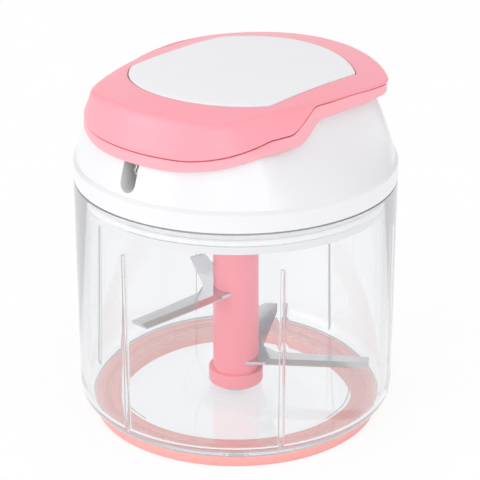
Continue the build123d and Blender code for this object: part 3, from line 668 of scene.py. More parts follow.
def rounded_region(discs: list[Triple], corner: float, turns: np.ndarray) -> np.ndarray:
    """Distance from the axis to the edge of where discs overlap, with rounded corners.

    Args:
        discs: (centre x, centre y, radius) of each disc.
        corner: radius of the corners.
        turns: directions from the axis, rising from -pi.

    Returns:
        The distance in each direction.
    """
    tiny, close = 1e-9, 1e-6  # millimetres between centres that are one, and of error allowed
    count = 4001  # directions in which the edge is worked out
    shrunk = [(np.array((x, y)), radius - corner) for x, y, radius in discs]
    tips = []
    for n, (centre, radius) in enumerate(shrunk):
        for other, other_radius in shrunk[n + 1 :]:
            apart = np.linalg.norm(other - centre)
            if apart < tiny or apart > radius + other_radius:
                continue
            along = (apart**2 + radius**2 - other_radius**2) / (2 * apart)
            if along**2 > radius**2:
                continue
            across = math.sqrt(radius**2 - along**2)
            axis = (other - centre) / apart
            side = np.array((-axis[1], axis[0]))
            tips += [centre + axis * along + side * across, centre + axis * along - side * across]
    tips = [
        tip for tip in tips if all(np.linalg.norm(tip - c) <= r + close for c, r in shrunk)
    ]
    edge = []
    for angle in np.linspace(-math.pi, math.pi, count):
        normal = np.array((math.cos(angle), math.sin(angle)))
        for centre, radius in shrunk:
            point = centre + normal * radius
            if all(np.linalg.norm(point - c) <= r + close for c, r in shrunk):
                break
        else:
            point = max(tips, key=lambda tip: float(tip @ normal))
        edge.append(point + normal * corner)
    edge = np.array(edge)
    angles = np.arctan2(edge[:, 1], edge[:, 0])
    order = np.argsort(angles)
    wrapped = np.arctan2(np.sin(turns), np.cos(turns))
    return np.interp(
        wrapped, angles[order], np.linalg.norm(edge, axis=1)[order], period=2 * math.pi
    )


# ---------------------------------------------------------------- geometry nodes
def new_tree(name: str, inputs: dict[str, float | int | None]) -> bpy.types.NodeTree:
    """Makes a geometry node tree with named inputs.

    Args:
        name: the tree's name.
        inputs: the default value of each input; the finish, a material, has None.

    Returns:
        The tree, with a geometry input and output.
    """
    kinds = {int: "NodeSocketInt", float: "NodeSocketFloat", type(None): "NodeSocketMaterial"}
    tree = bpy.data.node_groups.new(name, "GeometryNodeTree")
    for way in ("INPUT", "OUTPUT"):
        tree.interface.new_socket("Geometry", in_out=way, socket_type="NodeSocketGeometry")
    for label, value in inputs.items():
        socket = tree.interface.new_socket(label, in_out="INPUT", socket_type=kinds[type(value)])
        if value is not None:
            socket.default_value = value
    return tree


def end_tree(add: Adder, shape: bpy.types.Node, finish: bpy.types.NodeSocket) -> None:
    """Ends a tree: its instances are made real and get their finish.

    Args:
        add: adds a node to the tree.
        shape: the node with the finished shape.
        finish: the tree's input for the material.
    """
    real = add("GeometryNodeRealizeInstances", Geometry=shape)
    dressed = add("GeometryNodeSetMaterial", Geometry=real, Material=finish)
    add("NodeGroupOutput", Geometry=dressed)


def grown(
    source: bpy.types.Object, tree: bpy.types.NodeTree, name: str, **values: object
) -> bpy.types.Object:
    """Runs a geometry node tree on an object and keeps the result as a plain mesh.

    Args:
        source: the object that the tree starts from; it is removed.
        tree: the tree.
        name: the new piece's name.
        **values: the tree's inputs, named with underscores for spaces.

    Returns:
        The new piece.
    """
    modifier = source.modifiers.new("grow", "NODES")
    modifier.node_group = tree
    for item in tree.interface.items_tree:
        key = item.name.replace(" ", "_")
        if item.in_out == "INPUT" and key in values:
            modifier[item.identifier] = values[key]
    seen = source.evaluated_get(bpy.context.evaluated_depsgraph_get())
    mesh = bpy.data.meshes.new_from_object(seen)
    source.modifiers.remove(modifier)
    bpy.data.objects.remove(source)
    mesh.name = name
    return linked(name, mesh)


def ring_tree() -> bpy.types.NodeTree:
    """Tree that stands copies of a piece on given places, each turned by its own amount.

    Returns:
        The tree.
    """
    sizes = {"Distance": 0.04, "First Angle": 0.0, "Height": 0.1, "Stretch": 1.0, "Shift": 0.0}
    tree = new_tree("screws_in_place", {"Count": 4, **sizes, "Finish": None})
    add = partial(add_node, tree)
    given = add("NodeGroupInput").outputs
    index = add("GeometryNodeInputIndex")
    line = add("GeometryNodeMeshLine", Count=given["Count"])
    share = add(MATH, OVER, i0=index, i1=given["Count"])
    turn = add(MATH, TIMES_PLUS, i0=share, i1=2 * math.pi, i2=given["First Angle"])
    x = add(MATH, TIMES, i0=add(MATH, COSINE, i0=turn), i1=given["Distance"])
    y = add(MATH, TIMES, i0=add(MATH, SINE, i0=turn), i1=given["Distance"])
    long_y = add(MATH, TIMES_PLUS, i0=y, i1=given["Stretch"], i2=given["Shift"])
    place = add("ShaderNodeCombineXYZ", X=x, Y=long_y, Z=given["Height"])
    stand = add("GeometryNodeSetPosition", Geometry=line, Position=place)
    spin = add(
        "FunctionNodeRandomValue", {"data_type": "FLOAT"}, i2=0.0, i3=math.pi, ID=index, Seed=7
    )
    copies = add(
        "GeometryNodeInstanceOnPoints",
        Points=stand,
        Instance=given["Geometry"],
        Rotation=add("ShaderNodeCombineXYZ", Z=spin.outputs[1]),
    )
    end_tree(add, copies, given["Finish"])
    return tree


def braid_tree() -> bpy.types.NodeTree:
    """Tree that lays yarns round a path, half of them one way and half the other.

    Returns:
        The tree.
    """
    sizes = {"Radius": 0.0008, "Yarn Radius": 0.0003, "Pitch": 0.006, "Step": 0.0003}
    tree = new_tree("cord_braid", {"Yarns": 8, **sizes, "Finish": None})
    add = partial(add_node, tree)
    given = add("NodeGroupInput").outputs
    path = add(
        "GeometryNodeResampleCurve",
        {"mode": "LENGTH"},
        Curve=given["Geometry"],
        Length=given["Step"],
    )
    normal, along = add("GeometryNodeInputNormal"), add("GeometryNodeInputTangent")
    crossed = add(VECTOR, {"operation": "CROSS_PRODUCT"}, i0=along, i1=normal)
    length = add("GeometryNodeSplineParameter").outputs["Length"]
    kept = {"side": normal, "across": crossed, "run": length}
    kinds = {"side": "FLOAT_VECTOR", "across": "FLOAT_VECTOR", "run": "FLOAT"}
    for name, value in kept.items():
        path = add(STORE, {"data_type": kinds[name]}, Geometry=path, Name=name, Value=value)
    copies = add(
        "GeometryNodeDuplicateElements", {"domain": "SPLINE"}, Geometry=path, Amount=given["Yarns"]
    )
    side, across, run = [add(NAMED, {"data_type": kinds[name]}, Name=name) for name in kept]
    number = copies.outputs["Duplicate Index"]
    parity = add(MATH, REMAINDER, i0=number, i1=2.0)
    hand = add(MATH, TIMES_PLUS, i0=parity, i1=2.0, i2=-1.0)
    wound = add(MATH, OVER, i0=run, i1=given["Pitch"])
    signed = add(MATH, TIMES, i0=wound, i1=hand)
    half = add(MATH, TIMES, i0=number, i1=0.5)
    pair = add(MATH, {"operation": "FLOOR"}, i0=half)
    phase = add(MATH, OVER, i0=pair, i1=given["Yarns"])
    twice = add(MATH, TIMES_PLUS, i0=phase, i1=2.0, i2=signed)
    turn = add(MATH, TIMES, i0=twice, i1=2 * math.pi)
    # Each yarn rises and dips once for every two that it crosses, out of step with the other hand.
    weave = add(MATH, TIMES, i0=wound, i1=given["Yarns"])
    weave_turn = add(MATH, TIMES, i0=weave, i1=math.pi)
    offset = add(MATH, TIMES_PLUS, i0=pair, i1=math.pi, i2=weave_turn)
    flip = add(MATH, TIMES_PLUS, i0=parity, i1=math.pi, i2=offset)
    dip = add(MATH, TIMES, i0=add(MATH, SINE, i0=flip), i1=given["Yarn Radius"])
    out = add(MATH, TIMES_PLUS, i0=dip, i1=YARN_DIP, i2=given["Radius"])
    one = add(VECTOR, SCALE, i0=side, Scale=add(MATH, COSINE, i0=turn))
    two = add(VECTOR, SCALE, i0=across, Scale=add(MATH, SINE, i0=turn))
    shift = add(VECTOR, SCALE, i0=add(VECTOR, i0=one, i1=two), Scale=out)
    laid = add("GeometryNodeSetPosition", Geometry=copies, Offset=shift)
    shade = add(MATH, REMAINDER, i0=pair, i1=2.0)
    marked = add(STORE, {"data_type": "FLOAT"}, Geometry=laid, Name="yarn", Value=shade)
    section = add(
        "GeometryNodeCurvePrimitiveCircle",
        {"mode": "RADIUS"},
        Resolution=6,
        Radius=given["Yarn Radius"],
    )
    tubes = add("GeometryNodeCurveToMesh", Curve=marked, Profile_Curve=section, Fill_Caps=True)
    end_tree(add, add("GeometryNodeSetShadeSmooth", Geometry=tubes), given["Finish"])
    return tree


def route_object(name: str, route: tuple[Triple, ...]) -> bpy.types.Object:
    """Makes a cord's smooth line: a spline with the route's points as control points.

    Args:
        name: the curve's name.
        route: the points in millimetres.

    Returns:
        The curve object, linked to the scene.
    """
    curve = bpy.data.curves.new(name, "CURVE")
    curve.dimensions = "3D"
    spline = curve.splines.new("NURBS")
    spline.points.add(len(route) - 1)
    for point, place in zip(spline.points, route):
        point.co = (*[value * MM for value in place], 1.0)
    spline.order_u = 3
    spline.use_endpoint_u = True
    spline.resolution_u = 16
    return linked(name, curve)


def line_points(curve_object: bpy.types.Object) -> list[Triple]:
    """The points, in metres, of a curve that has no bevel.

    Args:
        curve_object: the curve.

    Returns:
        The points, from its start to its end.
    """
    seen = curve_object.evaluated_get(bpy.context.evaluated_depsgraph_get())
    mesh = bpy.data.meshes.new_from_object(seen)
    points = [tuple(vertex.co) for vertex in mesh.vertices]
    bpy.data.meshes.remove(mesh)
    return points


# ---------------------------------------------------------------- finishes of this object
class Finish(Enum):
    """The finishes of the chopper's pieces."""

    CLEAR = ClearPlastic()
    WHITE = MouldedPlastic("lid_abs_moulded_gloss", "#E6E6E7", "#E4E4E5", 0.24)
    PANEL = MouldedPlastic("panel_abs_moulded_satin", "#EDEDED", "#EAEAEB", 0.34, 12.0, 0.02)
    PINK = MouldedPlastic(
        "handle_abs_moulded_pink", "#FB9FAB", "#FA9DA9", 0.34, 12.0, 0.02, subsurface=0.03
    )
    BAND = MouldedPlastic(
        "handle_abs_moulded_deep_pink", "#F4A9B2", "#F3A7B0", 0.34, 12.0, 0.02, subsurface=0.03
    )
    SHAFT = MouldedPlastic(
        "shaft_abs_moulded_pink", "#FC9BA7", "#FB98A4", 0.32, 7.0, 0.06, subsurface=0.08
    )
    INNER = MouldedPlastic(
        "gear_acetal_moulded", "#E4E4DE", "#DCDCD6", 0.42, 8.0, 0.05, 0.35, 0.15
    )
    RING = SoftRubber("ring_tpe_moulded", "#F7B3AE", "#F4ADA7")
    SEAL = SoftRubber("gasket_silicone_moulded", "#F4F4F3", "#EFEFEE", 0.5)
    STEEL = WorkedMetal("screw_steel_turned", "#C9CBCC", "#B4B6B8", 0.36)
    BRASS = WorkedMetal("eyelet_brass_rolled", "#A98B63", "#8C6F4C", 0.3)
    UPPER_BLADE = WorkedMetal(
        "upper_blade_steel_ground", "#DAD9DB", "#D0CFD1", 0.15, Lay.ALONG_X, -98.0
    )
    LOWER_BLADE = WorkedMetal(
        "lower_blade_steel_ground", "#DAD9DB", "#D0CFD1", 0.15, Lay.ALONG_X, 38.0
    )
    CORD = BraidedYarn()


class Finishes:
    """Builds each finish once and hands it out."""

    def __init__(self) -> None:
        """Starts with nothing built."""
        self.built: dict[Finish, bpy.types.Material] = {}

    def get(self, finish: Finish) -> bpy.types.Material:
        """The material of a finish.

        Args:
            finish: which one.

        Returns:
            Its material, the same one each time.
        """
        if finish not in self.built:
            self.built[finish] = finish.value.build()
        return self.built[finish]


SCREW_NODES = ("cover_screws", "case_screws", "spindle_screws", "handle_screws")
CAD_NODES = {
    Finish.CLEAR: ("bowl",),
    Finish.RING: ("base_ring",),
    Finish.STEEL: ("pivot_pin", "center_axle", "mainspring", *SCREW_NODES),
    Finish.SHAFT: ("blade_shaft", "shaft_foot"),
    Finish.INNER: (
        *("shaft_bush", "mechanism_cover", "spindle_bush"),
        *("spring_case", "cord_spool", "drive_spindle"),
    ),
    Finish.UPPER_BLADE: ("upper_blade",),
    Finish.LOWER_BLADE: ("lower_blade",),
    Finish.WHITE: ("lid_shell",),
    Finish.SEAL: ("lid_gasket",),
    Finish.BRASS: ("cord_eyelet", "cord_stop"),
    Finish.CORD: ("cord_lead", "cord_coil", "pull_cord"),
    Finish.PINK: ("handle_top",),
    Finish.PANEL: ("handle_panel",),
    Finish.BAND: ("handle_base",),
}


# ---------------------------------------------------------------- handle
class LidSurface:
    """Measures how far the lid reaches from the axis, so that the handle can stay clear of it."""

    def __init__(self, node: bpy.types.Object) -> None:
        """Takes the lid's node.

        Args:
            node: the CAD node of the lid's shell.
        """
        mesh = node.data
        corners = [tuple(vertex.co / MM) for vertex in mesh.vertices]
        self.tree = BVHTree.FromPolygons(corners, [tuple(face.vertices) for face in mesh.polygons])

    def reach(self, points: np.ndarray) -> np.ndarray:
        """The lid's outer radius in the direction and at the height of each point.

        Args:
            points: places in millimetres, off the axis.

        Returns:
            The radius for each point, or 0 where the lid isn't met.
        """
        start = 100.0  # millimetres from the axis, well outside the lid
        found = []
        for x, y, z in points:
            length = math.hypot(x, y)
            out = Vector((x / length, y / length, 0.0))
            hit = self.tree.ray_cast(out * start + Vector((0.0, 0.0, z)), -out, start - 1.0)
            found.append(start - hit[3] if hit[0] else 0.0)
        return np.array(found)

    def smooth_reach(self, ring: np.ndarray, spread: int = 7) -> np.ndarray:
        """The lid's outer radius round a closed ring, never too small and without bumps.

        Args:
            ring: evenly spaced points all round the lid.
            spread: how many neighbours on each side count.

        Returns:
            The radius for each point.
        """
        shifts = range(-spread, spread + 1)
        reach = self.reach(ring)
        largest = np.max([np.roll(reach, shift) for shift in shifts], axis=0)
        return np.mean([np.roll(largest, shift) for shift in shifts], axis=0)


def softly_larger(first: np.ndarray, second: np.ndarray, blend: float) -> np.ndarray:
    """The larger of two values, rounded where they cross."""
    return (first + second + np.sqrt((first - second) ** 2 + blend**2)) / 2


@dataclass
class Handle:
    """The pull handle: a crowned upper shell with an inlaid panel over a tucked-in lower shell."""

    finishes: Finishes
    lid: LidSurface
    base_node: bpy.types.Object
    crown_height: float = 143.3
    crown_across: float = 217.0  # radius of the crown seen from the front
    crown_along: float = 427.0  # radius of the crown seen from the side
    skirt_low: float = 124.0
    skirt_radius: float = 60.0
    crease_height: float = 139.6
    crease_radius: float = 57.25
    crease_flank: float = 45.4
    crease_bow: float = 200.0
    crease_bow_centre: float = 25.0
    crease_shift: float = 1.25
    corner: float = 12.0
    crease_round: float = 2.3  # how far from the crease its rounding starts
    wall: float = 2.0
    roof: float = 2.8
    lip: float = 0.5  # rounding of the lower edge
    post_radius: float = 3.4  # posts for the screws
    post_levels: tuple[float, float] = (139.5, 135.05)
    panel_half: float = 34.9
    panel_front: tuple[float, float] = (39.8, -1.5)  # radius and middle of the front arc
    panel_back: tuple[float, float] = (49.5, -5.5)
    panel_corners: tuple[float, float] = (6.5, 3.0)  # their radii, in front and behind
    panel_soft: float = 0.5  # rounding of its edge
    panel_bed: float = 0.05  # between its underside and the recess
    panel_depth: float = 1.4
    panel_gap: float = 0.4
    panel_proud: float = 0.3
    recess_round: float = 0.35  # of the rim of the panel's recess
    band_inset: float = 0.45  # of the lower shell's wall from the upper shell's edge
    band_wall: float = 1.3
    band_round: float = 0.35
    band_blend: float = 1.2  # how softly it gives way to the lid
    band_gap: float = 0.45  # height of the dark joint between the shells
    band_cover: float = 0.4  # how deep the pan's own wall lies inside the band
    pan_top: float = 133.0  # what stands higher in the pan keeps its place
    lid_clear: float = 0.4
    lid_cover: float = 0.95  # least distance of the lower shell's outside from the lid
    boss_places: tuple[tuple[float, float], ...] = ((-27, -24), (-27, 36), (27, -24), (27, 36))
    # Y, height and rounding of the corners of two lines seen from the side: the lower edge of the
    # lower shell, and the line between the shells.
    lower_line: tuple[Triple, ...] = (
        (-70.0, 120.3, 0.0),
        (-57.0, 120.3, 12.0),
        (-33.0, 126.7, 20.0),
        (-16.0, 126.7, 10.0),
        (-3.0, 132.4, 8.0),
        (70.0, 132.4, 0.0),
    )
    parting_line: tuple[Triple, ...] = (
        (-70.0, 125.0, 0.0),
        (-55.0, 125.0, 12.0),
        (-31.0, 131.2, 12.0),
        (-22.0, 131.8, 8.0),
        (-6.0, 138.0, 8.0),
        (14.0, 138.0, 60.0),
        (36.0, 136.3, 60.0),
        (70.0, 136.3, 0.0),
    )
    count: int = 480

    def __post_init__(self) -> None:
        """Works out the outlines, direction by direction."""
        self.turns = even_turns(self.count)
        self.heading = np.column_stack((np.cos(self.turns), np.sin(self.turns)))
        self.crease = rounded_region(
            [
                (0.0, self.crease_shift, self.crease_radius),
                (self.crease_flank - self.crease_bow, self.crease_bow_centre, self.crease_bow),
                (self.crease_bow - self.crease_flank, self.crease_bow_centre, self.crease_bow),
            ],
            self.corner,
            self.turns,
        )
        self.lower = rounded_corners(self.lower_line, 10)
        self.parting = rounded_corners(self.parting_line, 10)
        self.skirt_rise = self.crease_height - self.skirt_low

    def stand(self, radii: np.ndarray, levels: np.ndarray) -> np.ndarray:
        """Points in every direction at given distances and heights."""
        return np.column_stack((self.heading * radii[:, None], levels))

    def crown_level(self, points: np.ndarray, drop: float = 0.0) -> np.ndarray:
        """Height of the crown over points seen from above, lowered by drop.

        Args:
            points: places, of which X and Y count.
            drop: how far under the crown to go.

        Returns:
            The height over each point.
        """
        sag = self.crown_across - np.sqrt(self.crown_across**2 - points[:, 0] ** 2)
        reach = self.crown_along - drop - sag
        return self.crown_height - self.crown_along + np.sqrt(reach**2 - points[:, 1] ** 2)

    def panel_edge(self, grow: float) -> np.ndarray:
        """Distance from the axis to the panel's edge in each direction, grown all round.

        Args:
            grow: by how much the outline is grown.

        Returns:
            The distance in each direction.
        """
        flat = 4000.0  # radius of a disc whose side passes for straight
        reach = flat + grow
        flanks = [(self.panel_half - flat, 0.0, reach), (flat - self.panel_half, 0.0, reach)]
        ahead, behind = [
            rounded_region([(0.0, middle, radius + grow), *flanks], corner + grow, self.turns)
            for (radius, middle), corner in zip(
                (self.panel_front, self.panel_back), self.panel_corners
            )
        ]
        return np.where(self.heading[:, 1] < 0, ahead, behind)

    def level(self, radii: np.ndarray, drop: float = 0.0) -> np.ndarray:
        """Points on the crown at given distances from the axis."""
        return self.stand(radii, self.crown_level(self.heading * radii[:, None], drop))

    def skirt_at(self, share: np.ndarray, inset: float = 0.0) -> np.ndarray:
        """Points on the skirt: share 0 is its foot, and 1 the crease's outline."""
        radii = self.skirt_radius + (self.crease - self.skirt_radius) * share - inset
        return self.stand(radii, self.skirt_low + self.skirt_rise * share)

    def share_below(
        self, limit: Callable[[np.ndarray], np.ndarray], most: float, inset: float = 0.0
    ) -> np.ndarray:
        """Share of the skirt at which it meets a limit.

        Args:
            limit: gives the limit's height over points of the skirt.
            most: the largest share looked at.
            inset: how far inside the outer skirt to look.

        Returns:
            The share in each direction.
        """
        low, high = np.zeros(self.count), np.full(self.count, most)
        for _ in range(30):
            middle = (low + high) / 2
            points = self.skirt_at(middle, inset)
            under = points[:, 2] < limit(points)
            low, high = np.where(under, middle, low), np.where(under, high, middle)
        return low

    def crossing(self, drop: float, inset: float) -> np.ndarray:
        """Share of the skirt at which it meets the crown."""
        return self.share_below(lambda points: self.crown_level(points, drop), 1.4, inset)

    def parting_share(self) -> np.ndarray:
        """Share of the skirt at which it meets the line between the two shells."""
        along, height = self.parting.T
        return self.share_below(lambda points: np.interp(points[:, 1], along, height), 1.0)

    def clear_of_lid(self, ring: np.ndarray, gap: float) -> np.ndarray:
        """Moves points of a ring out, where needed, until they stand that far from the lid."""
        radii = np.linalg.norm(ring[:, :2], axis=1)
        return self.stand(np.maximum(self.lid.reach(ring) + gap, radii), ring[:, 2])

    def band(self) -> Skin:
        """The lower shell's visible wall, from the joint down to its lower edge.

        Returns:
            The wall as one closed skin.
        """
        edge = self.skirt_at(self.parting_share())
        edge_radius = np.linalg.norm(edge[:, :2], axis=1) - self.band_inset
        top = edge[:, 2] - self.band_gap
        bottom = np.interp(self.heading[:, 1] * edge_radius, self.lower[:, 0], self.lower[:, 1])
        steps = 8
        outside = []
        for step, level in enumerate(between(top, bottom, steps, 0)):
            ring = self.stand(edge_radius, level)
            cover = self.lid.smooth_reach(ring) + self.lid_cover
            pushed = softly_larger(edge_radius, cover, self.band_blend)
            radii = edge_radius + (pushed - edge_radius) * min(1.0, step / (steps / 2))
            least = self.lid.reach(ring) + self.lid_clear
            outside.append((np.maximum(radii, least), level))
        rounding = self.band_round
        arc = [(rounding * (1 - cosine), rounding * (1 - sine)) for cosine, sine in quarter(3)]
        (high_radii, high), (low_radii, low) = outside[0], outside[-1]
        rings = [self.stand(high_radii - inward, high - down) for inward, down in reversed(arc)]
        rings += [self.stand(radii, level) for radii, level in outside[1:-1]]
        rings += [self.stand(low_radii - inward, low + up) for inward, up in arc]
        for radii, level in reversed(outside):
            inner = self.stand(radii - self.band_wall, level)
            rings.append(self.clear_of_lid(inner, self.lid_clear))
        return skin(rings, closed=True)

    def lower_shell(self) -> bpy.types.Object:
        """Joins the smooth outer wall to the pan that carries the screws.

        Returns:
            The finished piece.
        """
        shell = mesh_object("handle_lower_shell", self.band(), self.finishes.get(Finish.BAND))
        joined_mesh = bmesh.new()
        joined_mesh.from_mesh(self.base_node.data)
        bmesh.ops.remove_doubles(joined_mesh, verts=joined_mesh.verts, dist=1e-6)
        edge = self.skirt_at(self.parting_share())
        limit = np.linalg.norm(edge[:, :2], axis=1) - self.band_inset - self.band_cover
        top = edge[:, 2] - self.band_gap - self.band_cover
        full = 2 * math.pi
        for vertex in joined_mesh.verts:
            x, y, z = vertex.co / MM
            radius, turn = math.hypot(x, y), math.atan2(y, x) % full
            most = float(np.interp(turn, self.turns, limit, period=full))
            if radius > most - self.band_wall and z < self.pan_top:
                shrink = min(1.0, most / radius)
                level = min(z, float(np.interp(turn, self.turns, top, period=full)))
                vertex.co = Vector((x * shrink, y * shrink, level)) * MM
        joined_mesh.from_mesh(shell.data)
        joined_mesh.to_mesh(shell.data)
        joined_mesh.free()
        smooth(shell.data)
        return shell

    def upper_shell(self) -> bpy.types.Object:
        """Builds the upper shell with its rounded crease, panel recess and inner wall.

        Returns:
            The finished piece.
        """
        crown_share, fall_by, skirt_share = 0.6, 1.1, 0.7  # limits of the crease's rounding
        recess = self.panel_edge(self.panel_gap)
        top = self.crossing(0.0, 0.0)
        foot = self.parting_share()
        meet, bottom = self.skirt_at(top), self.skirt_at(foot)
        outer = np.linalg.norm(meet[:, :2], axis=1)
        rings = [pole(self.crown_height - self.panel_depth)]
        rings += [self.level(recess * share, self.panel_depth) for share in (0.4, 0.8, 1.0)]
        lead_in = self.recess_round
        for cosine, sine in quarter(3):
            ring = self.level(recess + lead_in * (1 - cosine))
            ring[:, 2] -= lead_in * (1 - sine)
            rings.append(ring)
        rim = recess + lead_in
        crown_end = outer - np.minimum(self.crease_round, (outer - rim) * crown_share)
        rings += [self.level(radii) for radii in between(rim, crown_end, 8)]
        start = rings[-1]
        fall = np.minimum(self.crease_round * fall_by, (meet[:, 2] - bottom[:, 2]) * skirt_share)
        below = self.skirt_at(top - fall / self.skirt_rise)
        steps = 12
        for t in [step / steps for step in range(1, steps + 1)]:
            rings.append((1 - t) ** 2 * start + 2 * t * (1 - t) * meet + t**2 * below)
        stop = self.skirt_at(foot + self.lip / self.skirt_rise)
        rings += between(below, stop, 6)
        for cosine, sine in quarter(4, 1):
            ring = stop.copy()
            ring[:, :2] -= self.heading * self.lip * (1 - cosine)
            ring[:, 2] -= self.lip * sine
            rings.append(ring)
        inner_foot = self.skirt_at(foot, self.wall)
        inner_foot[:, 2] = rings[-1][:, 2]
        least_wall = 0.01  # share of the skirt that the inner wall keeps at least
        ceiling_share = np.maximum(self.crossing(self.roof, self.wall), foot + least_wall)
        ceiling = self.skirt_at(ceiling_share, self.wall)
        rings += [
            self.clear_of_lid(ring, self.lid_clear) for ring in between(inner_foot, ceiling, 6, 0)
        ]
        for share in (0.85, 0.5):
            rings.append(self.level(np.linalg.norm(rings[-1][:, :2], axis=1) * share, self.roof))
        rings.append(pole(self.crown_height - self.roof))
        high, low = self.post_levels
        line = [(0.0, high), (self.post_radius, high), (self.post_radius, low), (0.0, low)]
        post = turned_rings(line, even_turns(24))
        posts = [skin([ring + (x, y, 0.0) for ring in post]) for x, y in self.boss_places]
        shape = joined(skin(rings), *posts)
        return mesh_object("handle_upper_shell", shape, self.finishes.get(Finish.PINK))

    def panel(self) -> bpy.types.Object:
        """Builds the inlaid panel with its softened edge.

        Returns:
            The finished piece.
        """
        edge, soft, proud = self.panel_edge(0.0), self.panel_soft, self.panel_proud
        under = self.panel_depth - self.panel_bed
        rings = [pole(self.crown_height + proud)]
        rings += [self.level((edge - soft) * share, -proud) for share in (0.3, 0.6, 0.85, 1.0)]
        for cosine, sine in quarter(5, 1):
            ring = self.level(edge - soft + soft * sine, -proud)
            ring[:, 2] -= soft * (1 - cosine)
            rings.append(ring)
        rings += [self.level(edge * share, under) for share in (1.0, 0.5)]
        rings.append(pole(self.crown_height - self.panel_depth + self.panel_bed))
        return mesh_object("handle_inlay", skin(rings), self.finishes.get(Finish.PANEL))

    def build(self) -> None:
        """Builds the handle's pieces and ties them to their body."""
        shell = self.upper_shell()
        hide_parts("handle_top")
        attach(shell, "handle_body")
        panel = self.panel()
        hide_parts("handle_panel")
        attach(panel, "handle_body")
        base = self.lower_shell()
        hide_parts("handle_base")
        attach(base, "handle_body")
        for piece in (shell, panel, base):
            LOG.info("%s: %d faces", piece.name, len(piece.data.polygons))


